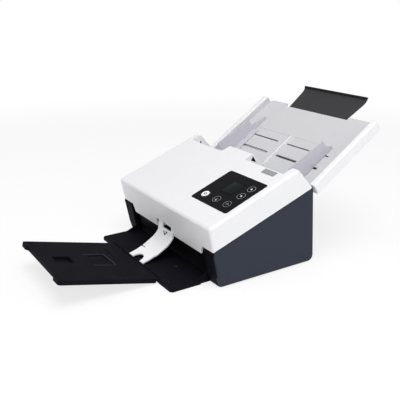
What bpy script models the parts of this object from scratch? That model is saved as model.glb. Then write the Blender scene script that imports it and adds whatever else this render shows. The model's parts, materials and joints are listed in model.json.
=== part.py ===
"""A desktop sheet-fed document scanner with its trays open, as an assembly of separate solids.

The machine frame has X across the machine, Y from its front to its rear and Z up from the
desk, with the front foot of the casing at Y = 0. All sizes are in metres.
"""

import math

import bmesh
import bpy
from mathutils import Matrix, Vector

# Clearances and walls that every piece shares
FIT = 0.0003
RUNNING_FIT = 0.0004
WALL = 0.0025
PLATE = 0.002
SHEET_STEEL = 0.0015
OVERRUN = 0.03
ROD_SIDES = 16
ROUND_SIDES = 24

# Casing, seen from the side as (Y, Z) places
BODY_WIDTH = 0.316
PILLAR_WIDTH = 0.030
UNDERSIDE = 0.002
HINGE = (-0.0055, 0.0595)
HUB_RADIUS = 0.008
HUB_END_ANGLE = math.radians(207)
PILLAR_KNEE = (-0.0065, 0.0186)
PILLAR_FOOT = (-0.0015, UNDERSIDE)
REAR_FOOT = 0.196
REAR_FOOT_RADIUS = 0.010
REAR_LEAN = 0.009
PARTING_OVER_PATH = 0.01207787
PILLAR_EDGE_RADIUS = 0.004
WINDOW_FRONT = 0.016
WINDOW_SETBACK = 0.016
WINDOW_SILL = 0.010
WINDOW_RIM = 0.012

# Top cover
COVER_FOOT = (-0.0103, 0.048)
COVER_FRONT_TOP = (-0.0231, 0.106)
COVER_REAR_SETBACK = 0.042
TOP_RISE_SHARE = 0.38396386
COVER_EDGE_RADIUS = 0.005
COVER_EDGE_STEPS = 5
LIP_RISE = 0.0055
APRON_SETBACK = 0.006
APRON_FLARE = 0.005
BAY_INNER = 0.036
BAY_SETBACK = 0.015
BAY_LENGTH = 0.021
LUG_SETBACK = 0.022
LUG_WIDTH = 0.007
LUG_RADIUS = 0.007
LUG_WEB_DEPTH = 0.012
LUG_WEB_HEIGHT = 0.026
NOTCH_GAP_LEFT = 0.004
NOTCH_GAP_RIGHT = 0.0025
NOTCH_RISE = 0.0055
HINGE_SHAFT_RADIUS = 0.003
SHAFT_OVERHANG = 0.0017

# Control panel, along the top face from its front edge
PANEL_SETBACK = 0.011
PANEL_WIDTH = 0.104
PANEL_TO_RELEASE = 0.0218
PANEL_LENGTH = 0.0904
PANEL_CORNER_RADIUS = 0.0045
PANEL_DEPTH = 0.0012
PANEL_STAND = 0.0003
PANEL_RIM = 0.009
BUTTON_RADIUS = 0.0080
BUTTON_STAND = 0.0005
BUTTON_SKIRT = 0.0014
BUTTON_STEM_RADIUS = 0.003
BUTTON_TRAVEL = 0.0008
BUTTON_ROW_SHARE = 0.211283
BUTTON_COLUMN_SHARE = 0.831731
BUTTON_PLACE_SHARES = {
    "power_button": (0.1875, BUTTON_ROW_SHARE),
    "stop_button": (0.509615, BUTTON_ROW_SHARE),
    "scan_button": (0.8, BUTTON_ROW_SHARE),
    "down_button": (BUTTON_COLUMN_SHARE, 0.509956),
    "up_button": (BUTTON_COLUMN_SHARE, 0.753319),
}
DISPLAY_PLACE_SHARES = (0.355769, 0.412611)
DISPLAY_WIDTH = 0.032
DISPLAY_LENGTH = 0.034
BOARD_DEPTH = 0.0074
BOARD_THICKNESS = 0.0016
BOARD_MARGIN = 0.003
POST_RADIUS = 0.002

# Release button in the top face
RELEASE_SETBACK = 0.026
RELEASE_WIDTH = 0.0315
RELEASE_INSET = 0.02530611
RELEASE_LENGTH = 0.0115
RELEASE_THICKNESS = 0.0036
RELEASE_STAND = 0.0008

# Straight paper path, from the exit up to the feed throat
PATH_START = (0.0, 0.044)
PATH_TILT = math.radians(23.4)
PATH_SIDE_GAP = 0.002
PATH_GAP = 0.004
LOWER_GUIDE_START = 0.001
LOWER_GUIDE_LAP = 0.00224183
UPPER_GUIDE_START = 0.002
UPPER_GUIDE_SETBACK = 0.0215
GUIDE_FLANGE = 0.010
LOWER_FLANGE_SETBACK = 0.010
UPPER_FLANGE_START = 0.014
UPPER_FLANGE_SETBACK = 0.0085
SENSOR_TO_DRIVE = 0.034
SENSOR_LENGTH = 0.022
SENSOR_SETBACK = 0.011
SENSOR_HEIGHT = 0.020
GLASS_SETBACK = 0.0035
GLASS_LENGTH = 0.012

# Rollers along the paper path: place, radius, shaft radius
SHAFT_RADIUS = 0.003
FEED_SETBACK = 0.041
FEED_RADIUS = 0.011
FEED_HALF_WIDTH = 0.021
DRIVE_TO_FEED = 0.040
DRIVE_RADIUS = 0.008
EXIT_PLACE = 0.022
EXIT_RADIUS = 0.007
TYRE_INNER = 0.032
TYRE_WIDTH = 0.028
TYRE_WALL = 0.003
ROLLER_PROUD = 0.0003
ROLLER_WINDOW_MARGIN = 0.002
SEPARATION_RADIUS = 0.009
PINCH_RADIUS = 0.005
PINCH_HALF_WIDTH = 0.062
CHEEK_THICKNESS = 0.0025
CHEEK_HALF_LENGTH = 0.004
JOURNAL_RADIUS = 0.002
NIP = 0.0005

# Drive
PULLEY_RADIUS = 0.008
PULLEY_WIDTH = 0.008
PULLEY_GAP = 0.0047
MOTOR_PULLEY_RADIUS = 0.006
MOTOR_PLACE = (0.085, 0.036)
MOTOR_RADIUS = 0.018
MOTOR_LENGTH = 0.034
MOTOR_SHAFT_RADIUS = 0.002
MOTOR_BORE_DEPTH = 0.010
BELT_THICKNESS = 0.0012

# Base inside
FRAME_INSET = 0.003
PAN_FRONT = 0.004
PAN_FLANGE = 0.008
STANDOFF = 0.0115
STANDOFF_RADIUS = 0.003
STANDOFF_MARGIN = 0.006
MAIN_BOARD_LEFT = -0.060
MAIN_BOARD_WIDTH = 0.140
MAIN_BOARD_LENGTH = 0.066
MAIN_BOARD_SETBACK = 0.010
PORT_DEPTH = 0.014
JACK_PLACE = 0.060
JACK_SIDE = 0.010
JACK_BORE = 0.0033
JACK_BORE_DEPTH = 0.009
USB_PLACE = 0.030
USB_WIDTH = 0.0125
USB_HEIGHT = 0.0112
USB_SLOT_WIDTH = 0.0085
USB_SLOT_HEIGHT = 0.0078
PORT_MARGIN = 0.0008
REAR_COVER_DROP = 0.0025
VENT_COUNT = 7
VENT_WIDTH = 0.0024
VENT_PITCH = 0.0065
VENT_HEIGHT = 0.030
VENT_FOOT = 0.050
VENT_START = -0.085
FOOT_RADIUS = 0.008
FOOT_FRONT = 0.018
FOOT_SETBACK = 0.024
EXIT_WALL_FOOT = (0.0046, 0.0048)
EXIT_WALL_TOP = (-0.0008, 0.0422)
EXIT_WALL_GAP = 0.0008

# Output tray
TRAY_PIVOT = (0.0, 0.017)
TRAY_TOP = 0.0065
TRAY_UNDERSIDE = 0.0006
TRAY_REAR = 0.002
TRAY_FRONT = -0.076
TRAY_SHOULDER = -0.018
TRAY_WING = 0.0024
TRAY_SKIN = 0.0018
TRAY_CORNER = 0.004
TRAY_ARM_WIDTH = 0.004
TRAY_ARM_START = -0.030
TRAY_BOSS_RADIUS = 0.005
ARM_NECK_SHARE = 0.9
TRAY_PIN_RADIUS = 0.0022
TRAY_PIN_LENGTH = 0.0024

# Output extension, along its own slope from its hinge
EXTENSION_HINGE = (-0.0745, 0.0042)
EXTENSION_TILT = math.radians(14.07)
EXTENSION_HALF_WIDTH = 0.088
EXTENSION_TOP = 0.0032
EXTENSION_FLANGE = 0.0075
EXTENSION_LENGTH = 0.1722
EXTENSION_SKIN = 0.0022
BARREL_RADIUS = 0.0032
BARREL_PIN_RADIUS = 0.0015
BARREL_PIN_LENGTH = 0.002
BARREL_GAP = 0.0008
EAR_WIDTH = 0.026
EAR_REACH = 0.004
EAR_RADIUS = 0.005
SLOT_HALF_WIDTH = 0.014
SLOT_START = 0.084
STOP_AXLE = 0.116
SLOT_END = 0.147
RECESS_START = 0.052
RECESS_END = 0.081
RECESS_HALF_START = 0.0235
RECESS_HALF_END = 0.018
RECESS_DEPTH = 0.001
WELL_WALL = 0.002
WELL_DEPTH = 0.0052
WELL_FLOOR = 0.0014
STOP_AXLE_DROP = 0.0022
STOP_KNUCKLE_RADIUS = 0.0018
STOP_PIN_RADIUS = 0.0010
STOP_PIN_LENGTH = 0.0015

# Paper press tongue, its upper face seen from the side
TONGUE_LEFT = -0.026
TONGUE_RIGHT = 0.0265
TONGUE_THICKNESS = 0.0022
TONGUE_CURVE = (
    (-0.0104, 0.0580),
    (-0.0120, 0.0430),
    (-0.0175, 0.0360),
    (-0.0250, 0.0300),
    (-0.0410, 0.0208),
    (-0.0560, 0.0141),
    (-0.0710, 0.0097),
)
TONGUE_KNUCKLE_RADIUS = 0.0048
FORK_HALF_WIDTH = 0.0125
FORK_DEPTH = 0.014
TONGUE_STEP_WIDTH = 0.002
TONGUE_STEP_Y = -0.047
TONGUE_WINDOW = (-0.0100, 0.0190)
TONGUE_WINDOW_FOOT = 0.0520
TONGUE_SLOT = ((-0.0034, 0.0090), (0.0455, 0.0470))
TONGUE_HOLE = ((0.0005, 0.0031), (0.0404, 0.0430))
TONGUE_SIDE_HOLE = ((-0.0185, -0.0165), (-0.0430, -0.0410))
TONGUE_SIDE_NOTCH = ((-0.0300, -0.0245), (-0.0466, -0.0442))

# Input tray, along its own slope from the lip
LIP_UNDER_PATH = 0.00092213
TRAY_SLOPE = math.radians(34.0)
INPUT_START = 0.003
INPUT_END = 0.177
INPUT_HORN_LENGTH = 0.007
INPUT_HORN_GAP = 0.0105
INPUT_SKIN = 0.0025
RAIL_WIDTH = 0.013
RAIL_OVERHANG = 0.002
RAIL_TOP = 0.014
RAIL_UNDERSIDE = 0.006
RAIL_START = 0.009
RAIL_SETBACK = 0.004
RAIL_RADIUS = 0.004
RAIL_STEPS = 2
RIB_HALF_WIDTH = 0.0016
RIB_HEIGHT = 0.003
RIB_START = 0.022
RIB_END = 0.104
LOW_SLOT_PLACE = 0.0525
LOW_SLOT_WIDTH = 0.0050
SLOT_PITCH = 0.0325
HIGH_SLOT_WIDTH = 0.0030
GUIDE_SLOT_LEFT = 0.022
GUIDE_SLOT_RIGHT = 0.005
GUIDE_SLOT_PAST = 0.0105
BACK_COVER_START = 0.010
BACK_COVER_SHORTFALL = 0.005
BACK_COVER_SETBACK = 0.0055
BACK_COVER_DEPTH = 0.0125
TRAY_BRACKET_SETBACK = 0.028
TRAY_BRACKET_WIDTH = 0.012
TRAY_BRACKET_REACH = 0.020
TRAY_BRACKET_DROP = 0.024

# Input extension
SHEET_PLACE = -0.0042
SHEET_HALF_START = 0.0755
SHEET_HALF_TIP = 0.0870
SHEET_START = 0.136
SHEET_CURL = ((0.226, 0.0), (0.231, 0.0007), (0.2355, 0.0026), (0.2395, 0.0062))
SHEET_THICKNESS = 0.0022
SHEET_TRAVEL_IN = 0.045
SHEET_TRAVEL_OUT = 0.012

# Side guides, racks and pinion
GUIDE_FACE = 0.1075
GUIDE_THICKNESS = 0.0025
GUIDE_START = 0.0105
GUIDE_END = 0.095
GUIDE_FRONT_HEIGHT = 0.038
GUIDE_REAR_HEIGHT = 0.028
GUIDE_FOOT_START = 0.024
GUIDE_FOOT_WIDTH = 0.012
GUIDE_FOOT_THICKNESS = 0.0018
GUIDE_LIFT = 0.0005
LEFT_BRACE_END = 0.132
RIGHT_BRACE_END = 0.106
GUIDE_BRACE_HEIGHT = 0.006
STEM_WIDTH = 0.008
STEM_FIT = 0.0005
TOOTH_MODULE = 0.0015
PINION_TEETH = 12
PINION_PAST_SLOT = 0.0163
PINION_AXLE_RADIUS = 0.002
RACK_TOP = 0.0035
RACK_BOTTOM = 0.0065
RACK_PAST_CENTRE = 0.008
TOOTH_THINNING_SHARE = 0.82
TOOTH_TIP_SHARE = 0.62
TOOTH_ROOT_SHARE = 1.2
TOOTH_TOP_SHARE = 0.9

# Places worked out from the sizes above
BODY_HALF = BODY_WIDTH / 2
PILLAR_INNER = BODY_HALF - PILLAR_WIDTH
FRAME_PLACE = PILLAR_INNER + WALL + FIT
SHAFT_REACH = FRAME_PLACE + SHEET_STEEL + SHAFT_OVERHANG
PULLEY_INNER = FRAME_PLACE + SHEET_STEEL + PULLEY_GAP
FOOT_SIDE = BODY_HALF - PILLAR_WIDTH / 2
APRON_HALF_TOP = PILLAR_INNER - APRON_SETBACK
APRON_HALF_FOOT = APRON_HALF_TOP - APRON_FLARE
BAY_OUTER = BODY_HALF - BAY_SETBACK
LUG_INNER = PILLAR_INNER - LUG_SETBACK
NOTCH_TOP = HINGE[1] + NOTCH_RISE
NOTCH_LEFT = TONGUE_LEFT - NOTCH_GAP_LEFT
NOTCH_RIGHT = TONGUE_RIGHT + NOTCH_GAP_RIGHT
PANEL_RIGHT = BODY_HALF - PANEL_SETBACK
PANEL_LEFT = PANEL_RIGHT - PANEL_WIDTH
RELEASE_RIGHT = BODY_HALF - RELEASE_SETBACK
RELEASE_LEFT = RELEASE_RIGHT - RELEASE_WIDTH
PATH_HALF_WIDTH = PILLAR_INNER - PATH_SIDE_GAP
SENSOR_HALF_WIDTH = PATH_HALF_WIDTH - SENSOR_SETBACK
GLASS_HALF_WIDTH = SENSOR_HALF_WIDTH - GLASS_SETBACK
TRAY_NECK_HALF_WIDTH = PILLAR_INNER - RUNNING_FIT
TRAY_HALF_WIDTH = TRAY_NECK_HALF_WIDTH + TRAY_WING
EXIT_WALL_HALF = TRAY_NECK_HALF_WIDTH - TRAY_ARM_WIDTH - EXIT_WALL_GAP
EAR_INNER = EXTENSION_HALF_WIDTH - EAR_WIDTH
HORN_LEFT = SHEET_PLACE - SHEET_HALF_START - INPUT_HORN_GAP
HORN_RIGHT = SHEET_PLACE + SHEET_HALF_START + INPUT_HORN_GAP
RAIL_OUTER = BODY_HALF + RAIL_OVERHANG
RAIL_INNER = RAIL_OUTER - RAIL_WIDTH
BACK_COVER_HALF_WIDTH = RAIL_INNER - BACK_COVER_SETBACK
TRAY_BRACKET_INNER = PILLAR_INNER - TRAY_BRACKET_SETBACK
GUIDE_SLOT_OUTER = GUIDE_FACE + GUIDE_SLOT_PAST
INPUT_HORN_END = INPUT_END + INPUT_HORN_LENGTH
RAIL_END = INPUT_HORN_END - RAIL_SETBACK
BACK_COVER_END = INPUT_END - BACK_COVER_SHORTFALL
HIGH_SLOT_PLACE = LOW_SLOT_PLACE + SLOT_PITCH
PINION_PLACE = LOW_SLOT_PLACE + PINION_PAST_SLOT
MAIN_BOARD_RIGHT = MAIN_BOARD_LEFT + MAIN_BOARD_WIDTH
MAIN_BOARD_REAR = REAR_FOOT - MAIN_BOARD_SETBACK
MAIN_BOARD_FRONT = MAIN_BOARD_REAR - MAIN_BOARD_LENGTH
FOOT_REAR = REAR_FOOT - FOOT_SETBACK
WINDOW_REAR = REAR_FOOT - WINDOW_SETBACK
REAR_PLACE = REAR_FOOT - REAR_LEAN
PATH_AT_REAR = PATH_START[1] + (REAR_PLACE - PATH_START[0]) * math.tan(PATH_TILT)
PARTING_REAR = (REAR_PLACE, PATH_AT_REAR + PARTING_OVER_PATH)
PARTING_STEP = RUNNING_FIT
LIP_POINT = (REAR_PLACE, PATH_AT_REAR - LIP_UNDER_PATH)
REAR_COVER_TOP = LIP_POINT[1] - REAR_COVER_DROP
LOWER_GUIDE_END = (REAR_PLACE - PATH_START[0]) / math.cos(PATH_TILT) + LOWER_GUIDE_LAP
LOWER_FLANGE_END = LOWER_GUIDE_END - LOWER_FLANGE_SETBACK
UPPER_GUIDE_END = LOWER_GUIDE_END - UPPER_GUIDE_SETBACK
UPPER_FLANGE_END = UPPER_GUIDE_END - UPPER_FLANGE_SETBACK
FEED_PLACE = LOWER_GUIDE_END - FEED_SETBACK
DRIVE_PLACE = FEED_PLACE - DRIVE_TO_FEED
SENSOR_PLACE = DRIVE_PLACE - SENSOR_TO_DRIVE
COVER_REAR_Y = REAR_FOOT - COVER_REAR_SETBACK
TOP_RUN = COVER_REAR_Y - COVER_FRONT_TOP[0]
TOP_RISE = TOP_RUN * TOP_RISE_SHARE
TOP_TILT = math.atan2(TOP_RISE, TOP_RUN)
COVER_REAR_TOP = (COVER_REAR_Y, COVER_FRONT_TOP[1] + TOP_RISE)
BAY_TOP_Y = COVER_REAR_Y - BAY_LENGTH
RELEASE_REAR = math.hypot(TOP_RUN, TOP_RISE) - RELEASE_INSET
RELEASE_FRONT = RELEASE_REAR - RELEASE_LENGTH
PANEL_REAR = RELEASE_FRONT - PANEL_TO_RELEASE
PANEL_FRONT = PANEL_REAR - PANEL_LENGTH
DISPLAY_LEFT = PANEL_LEFT + PANEL_WIDTH * DISPLAY_PLACE_SHARES[0]
DISPLAY_RIGHT = DISPLAY_LEFT + DISPLAY_WIDTH
DISPLAY_FRONT = PANEL_FRONT + PANEL_LENGTH * DISPLAY_PLACE_SHARES[1]
DISPLAY_REAR = DISPLAY_FRONT + DISPLAY_LENGTH
CUTTER_COUNT = 0

COLOURS = {
    "navy_shell": ("363C48", 0.45, 0.0),
    "white_shell": ("F0F0F2", 0.42, 0.0),
    "charcoal_tray": ("26262E", 0.5, 0.0),
    "grey_sheet": ("444444", 0.5, 0.0),
    "light_tray": ("DCDCDF", 0.5, 0.0),
    "lavender_guide": ("C9C8D0", 0.45, 0.0),
    "black_panel": ("1E1E22", 0.2, 0.0),
    "dark_window": ("20282A", 0.1, 0.0),
    "pale_button": ("E4E6E8", 0.3, 0.0),
    "grey_button": ("A9ABAE", 0.45, 0.0),
    "sheet_steel": ("A8ABAE", 0.35, 1.0),
    "bright_steel": ("C8CACC", 0.2, 1.0),
    "black_moulding": ("141416", 0.5, 0.0),
    "scan_glass": ("B8C8CC", 0.05, 0.0),
    "circuit_board": ("1F5A3A", 0.5, 0.0),
    "black_rubber": ("18181A", 0.85, 0.0),
    "grey_rubber": ("5A5C60", 0.8, 0.0),
    "motor_can": ("8C9094", 0.35, 1.0),
    "nylon": ("E2DFD4", 0.5, 0.0),
}


def linear(channel):
    """One sRGB channel from 0 to 1, as the linear value that a shader takes."""
    if channel <= 0.04045:
        return channel / 12.92
    return ((channel + 0.055) / 1.055) ** 2.4


def make_material(name):
    code, roughness, metallic = COLOURS[name]
    channels = [int(code[i : i + 2], 16) / 255 for i in (0, 2, 4)]
    material = bpy.data.materials.new(name)
    material.use_nodes = True
    shader = material.node_tree.nodes["Principled BSDF"]
    shader.inputs["Base Color"].default_value = [linear(c) for c in channels] + [1]
    shader.inputs["Roughness"].default_value = roughness
    shader.inputs["Metallic"].default_value = metallic
    return material


def material_of(name):
    return bpy.data.materials.get(name) or make_material(name)


# Carriers are empties. A level one has its pieces drawn in the machine frame, and a tilted
# or turning one has them drawn from its own origin.
DRAWN_FROM = {}


def carrier(name, parent, place, tilt=0.0, local=False):
    empty = bpy.data.objects.new(name, None)
    bpy.context.scene.collection.objects.link(empty)
    empty.location = Vector(place)
    if parent:
        empty.parent = parent
        empty.location = Vector(place) - DRAWN_FROM[parent.name]
    empty.rotation_euler.x = tilt
    empty.hide_render = True
    DRAWN_FROM[name] = Vector() if local else Vector(place)
    return empty


def place_shape(name, shape, holder):
    """An object for this shape, drawn in the frame of its holder."""
    bmesh.ops.recalc_face_normals(shape, faces=shape.faces)
    shape.transform(Matrix.Translation(-DRAWN_FROM[holder.name]))
    mesh = bpy.data.meshes.new(name)
    shape.to_mesh(mesh)
    shape.free()
    piece = bpy.data.objects.new(name, mesh)
    bpy.context.scene.collection.objects.link(piece)
    piece.parent = holder
    return piece


def solid(name, shape, material, holder):
    piece = place_shape(name, shape, holder)
    piece.data.materials.append(material_of(material))
    piece.data.shade_smooth()
    piece.data.set_sharp_from_angle(angle=math.radians(30))
    return piece


def combine(piece, shape, operation):
    global CUTTER_COUNT
    CUTTER_COUNT += 1
    helper = place_shape(f"{piece.name}_helper_{CUTTER_COUNT}", shape, piece.parent)
    helper.hide_render = True
    helper.display_type = "WIRE"
    step = piece.modifiers.new(f"{operation.lower()}_{CUTTER_COUNT}", "BOOLEAN")
    step.operation = operation
    step.object = helper
    return helper


def cut(piece, *shapes):
    for shape in shapes:
        combine(piece, shape, "DIFFERENCE")


def add(piece, *shapes):
    for shape in shapes:
        combine(piece, shape, "UNION")


def between(first, second):
    """A closed solid between two loops with the same number of corners."""
    shape = bmesh.new()
    ends = [[shape.verts.new(corner) for corner in loop] for loop in (first, second)]
    shape.faces.new(ends[0])
    shape.faces.new(ends[1])
    count = len(first)
    for i in range(count):
        j = (i + 1) % count
        shape.faces.new((ends[0][i], ends[0][j], ends[1][j], ends[1][i]))
    bmesh.ops.recalc_face_normals(shape, faces=shape.faces)
    return shape


def prism_x(outline, start, end):
    """An outline of (Y, Z) places, run across the machine."""
    return between([(start, y, z) for y, z in outline], [(end, y, z) for y, z in outline])


def prism_y(outline, start, end):
    return between([(x, start, z) for x, z in outline], [(x, end, z) for x, z in outline])


def prism_z(outline, start, end):
    return between([(x, y, start) for x, y in outline], [(x, y, end) for x, y in outline])


def slab(x, y, z):
    """A block between two places on each axis."""
    corners = [(x[0], y[0]), (x[1], y[0]), (x[1], y[1]), (x[0], y[1])]
    return prism_z(corners, z[0], z[1])


def arc(centre, radius, start, end, steps):
    angles = [start + (end - start) * i / steps for i in range(steps + 1)]
    return [
        (centre[0] + radius * math.cos(a), centre[1] + radius * math.sin(a)) for a in angles
    ]


def ring(centre, radius, sides):
    return arc(centre, radius, 0, math.tau, sides)[:-1]


def rod(start, end, radius, centre=(0.0, 0.0), sides=ROD_SIDES):
    """A round bar along X about a (Y, Z) centre."""
    return prism_x(ring(centre, radius, sides), start, end)


def post(centre, start, end, radius, sides=ROD_SIDES):
    """A round bar along Z about an (X, Y) centre."""
    return prism_z(ring(centre, radius, sides), start, end)


def rounded(corners, radius, steps=3):
    """A convex outline with each corner turned into an arc."""
    points = []
    count = len(corners)
    for i in range(count):
        before, here, after = (Vector(corners[(i + k) % count]) for k in (-1, 0, 1))
        to_before = (before - here).normalized()
        to_after = (after - here).normalized()
        half = to_before.angle(to_after) / 2
        middle = here + (to_before + to_after).normalized() * (radius / math.sin(half))
        start = (here + to_before * (radius / math.tan(half))) - middle
        turn = start.angle_signed((here + to_after * (radius / math.tan(half))) - middle)
        for k in range(steps + 1):
            spoke = start.copy()
            spoke.rotate(Matrix.Rotation(-turn * k / steps, 2))
            points.append(tuple(middle + spoke))
    return points


def rectangle(x, y):
    return [(x[0], y[0]), (x[1], y[0]), (x[1], y[1]), (x[0], y[1])]


def inset(outline, distance):
    """An anticlockwise outline moved inwards, corner by corner."""
    moved = []
    count = len(outline)
    for i in range(count):
        before, here, after = (Vector(outline[(i + k) % count]) for k in (-1, 0, 1))
        first = (here - before).normalized()
        second = (after - here).normalized()
        inward = Vector((-first.y, first.x))
        bisector = inward + Vector((-second.y, second.x))
        moved.append(tuple(here + bisector * (distance / bisector.dot(inward))))
    return moved


def round_edges(shape, radius, steps, chosen):
    edges = [edge for edge in shape.edges if chosen(*(v.co for v in edge.verts))]
    bmesh.ops.bevel(
        shape, geom=edges, offset=radius, segments=steps, profile=0.5, affect="EDGES"
    )
    return shape


def line_at(start, end, y):
    """The Z of the line through two (Y, Z) places, at this Y."""
    return start[1] + (end[1] - start[1]) * (y - start[0]) / (end[0] - start[0])


def y_at(start, end, z):
    return start[0] + (end[0] - start[0]) * (z - start[1]) / (end[1] - start[1])


def parting_angle():
    """The angle about the hinge at which the parting line touches the hub."""
    rear = Vector(PARTING_REAR) - Vector(HINGE)
    return math.atan2(rear.y, rear.x) + math.acos(HUB_RADIUS / rear.length)


def hub_arc(radius, start, end, steps=6):
    return arc(HINGE, radius, start, end, steps)


def base_outline():
    foot = (REAR_FOOT - REAR_FOOT_RADIUS, UNDERSIDE + REAR_FOOT_RADIUS)
    corner = arc(foot, REAR_FOOT_RADIUS, -math.pi / 2, 0, 4)
    hub = hub_arc(HUB_RADIUS, parting_angle(), HUB_END_ANGLE)
    return [PILLAR_FOOT] + corner + [PARTING_REAR] + hub + [PILLAR_KNEE]


def parting_normal():
    return Vector((math.cos(parting_angle()), math.sin(parting_angle())))


def cover_outline():
    rear = Vector(PARTING_REAR) + parting_normal() * PARTING_STEP
    return [COVER_FOOT, tuple(rear), COVER_REAR_TOP, COVER_FRONT_TOP]


def build_side_cover(side, machine):
    name = "right_side_cover" if side > 0 else "left_side_cover"
    outline = base_outline()
    block = prism_x(outline, side * PILLAR_INNER, side * BODY_HALF)
    knee = PILLAR_KNEE[1]

    def front_edge(a, b):
        outer = min(abs(a.x), abs(b.x)) > PILLAR_INNER + WALL
        return outer and max(a.y, b.y) < PATH_START[0] and min(a.z, b.z) <= knee + FIT

    round_edges(block, PILLAR_EDGE_RADIUS, 2, front_edge)
    shell = solid(name, block, "navy_shell", machine)
    cut(shell, prism_x(inset(outline, WALL), side * (PILLAR_INNER + WALL), side * (BODY_HALF - WALL)))
    top_front = line_at(HINGE, PARTING_REAR, WINDOW_FRONT)
    top_rear = line_at(HINGE, PARTING_REAR, WINDOW_REAR)
    window = [
        (WINDOW_FRONT, WINDOW_SILL),
        (WINDOW_REAR, WINDOW_SILL),
        (WINDOW_REAR, top_rear - WINDOW_RIM),
        (WINDOW_FRONT, top_front - WINDOW_RIM),
    ]
    inner = (side * (PILLAR_INNER - OVERRUN), side * (PILLAR_INNER + WALL * 1.5))
    cut(shell, prism_x(window, *inner))
    cut(shell, rod(*inner, HINGE_SHAFT_RADIUS + FIT, HINGE))
    cut(shell, rod(*inner, TRAY_PIN_RADIUS + FIT, TRAY_PIVOT))
    return shell


def path_point(t, w):
    """A place along and above the paper path, as (Y, Z) in the machine frame."""
    y = PATH_START[0] + t * math.cos(PATH_TILT) - w * math.sin(PATH_TILT)
    z = PATH_START[1] + t * math.sin(PATH_TILT) + w * math.cos(PATH_TILT)
    return (y, z)


def roller_axis(place, radius):
    """The (t, w) of a roller that stands a little proud of the lower guide."""
    return (place, ROLLER_PROUD - radius)


def build_side_frame(side, machine):
    name = "right_side_frame" if side > 0 else "left_side_frame"
    outline = inset(base_outline(), FRAME_INSET)
    ends = (side * FRAME_PLACE, side * (FRAME_PLACE + SHEET_STEEL))
    frame = solid(name, prism_x(outline, *ends), "sheet_steel", machine)
    through = (side * (FRAME_PLACE - OVERRUN), side * (FRAME_PLACE + OVERRUN))
    cut(frame, rod(*through, HINGE_SHAFT_RADIUS + FIT, HINGE))
    cut(frame, rod(*through, TRAY_PIN_RADIUS + FIT, TRAY_PIVOT))
    for place, radius in roller_places():
        cut(frame, rod(*through, SHAFT_RADIUS + FIT, path_point(*roller_axis(place, radius))))
    if side < 0:
        cut(frame, rod(*through, MOTOR_SHAFT_RADIUS + FIT, MOTOR_PLACE))
    return frame


def roller_places():
    return [
        (FEED_PLACE, FEED_RADIUS),
        (DRIVE_PLACE, DRIVE_RADIUS),
        (EXIT_PLACE, EXIT_RADIUS),
    ]


def board_corners(margin):
    return [
        (x, y)
        for x in (MAIN_BOARD_LEFT + margin, MAIN_BOARD_RIGHT - margin)
        for y in (MAIN_BOARD_FRONT + margin, MAIN_BOARD_REAR - margin)
    ]


def build_base_pan(machine):
    half = PILLAR_INNER - FIT
    rear = REAR_FOOT - REAR_FOOT_RADIUS
    floor = slab((-half, half), (PAN_FRONT, rear), (UNDERSIDE, UNDERSIDE + WALL))
    pan = solid("base_pan", floor, "black_moulding", machine)
    for side in (-1, 1):
        wall = (side * (half - WALL), side * half)
        add(pan, slab(wall, (PAN_FRONT, rear), (UNDERSIDE, UNDERSIDE + WALL + PAN_FLANGE)))
    for corner in board_corners(STANDOFF_MARGIN):
        add(pan, post(corner, UNDERSIDE + WALL / 2, STANDOFF, STANDOFF_RADIUS, 12))
    return pan


def build_rear_cover(machine):
    half = PILLAR_INNER - FIT
    foot = (REAR_FOOT, UNDERSIDE + REAR_FOOT_RADIUS)
    low = UNDERSIDE + WALL + FIT
    top_y = y_at(foot, PARTING_REAR, REAR_COVER_TOP)
    outline = [
        (REAR_FOOT - REAR_FOOT_RADIUS + FIT, UNDERSIDE),
        (REAR_FOOT - REAR_FOOT_RADIUS / 3, UNDERSIDE + REAR_FOOT_RADIUS / 3),
        foot,
        (top_y, REAR_COVER_TOP),
        (top_y - WALL, REAR_COVER_TOP),
        (REAR_FOOT - WALL, foot[1] + WALL),
        (REAR_FOOT - WALL * 2, low + WALL),
        (REAR_FOOT - REAR_FOOT_RADIUS + FIT, low + WALL / 2),
    ]
    cover = solid("rear_cover", prism_x(outline, -half, half), "navy_shell", machine)
    through = (REAR_FOOT - REAR_FOOT_RADIUS * 2, REAR_FOOT + OVERRUN)
    for i in range(VENT_COUNT):
        x = VENT_START + i * VENT_PITCH
        cut(cover, slab((x, x + VENT_WIDTH), through, (VENT_FOOT, VENT_FOOT + VENT_HEIGHT)))
    for centre, width, height in (
        (JACK_PLACE, JACK_SIDE, JACK_SIDE),
        (USB_PLACE, USB_WIDTH, USB_HEIGHT),
    ):
        half_width = width / 2 + PORT_MARGIN
        span = (centre - half_width, centre + half_width)
        tall = (port_sill() - PORT_MARGIN, port_sill() + height + PORT_MARGIN)
        cut(cover, slab(span, through, tall))
    for side in (-1, 1):
        start = side * TRAY_BRACKET_INNER
        add(cover, prism_x(bracket_outline(), start, start + side * TRAY_BRACKET_WIDTH))
    return cover


def port_sill():
    return STANDOFF + FIT + BOARD_THICKNESS + FIT


def tray_place(s, n):
    """A place on the input tray's slope, as (Y, Z) in the machine frame."""
    y = LIP_POINT[0] + s * math.cos(TRAY_SLOPE) - n * math.sin(TRAY_SLOPE)
    z = LIP_POINT[1] + s * math.sin(TRAY_SLOPE) + n * math.cos(TRAY_SLOPE)
    return (y, z)


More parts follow.
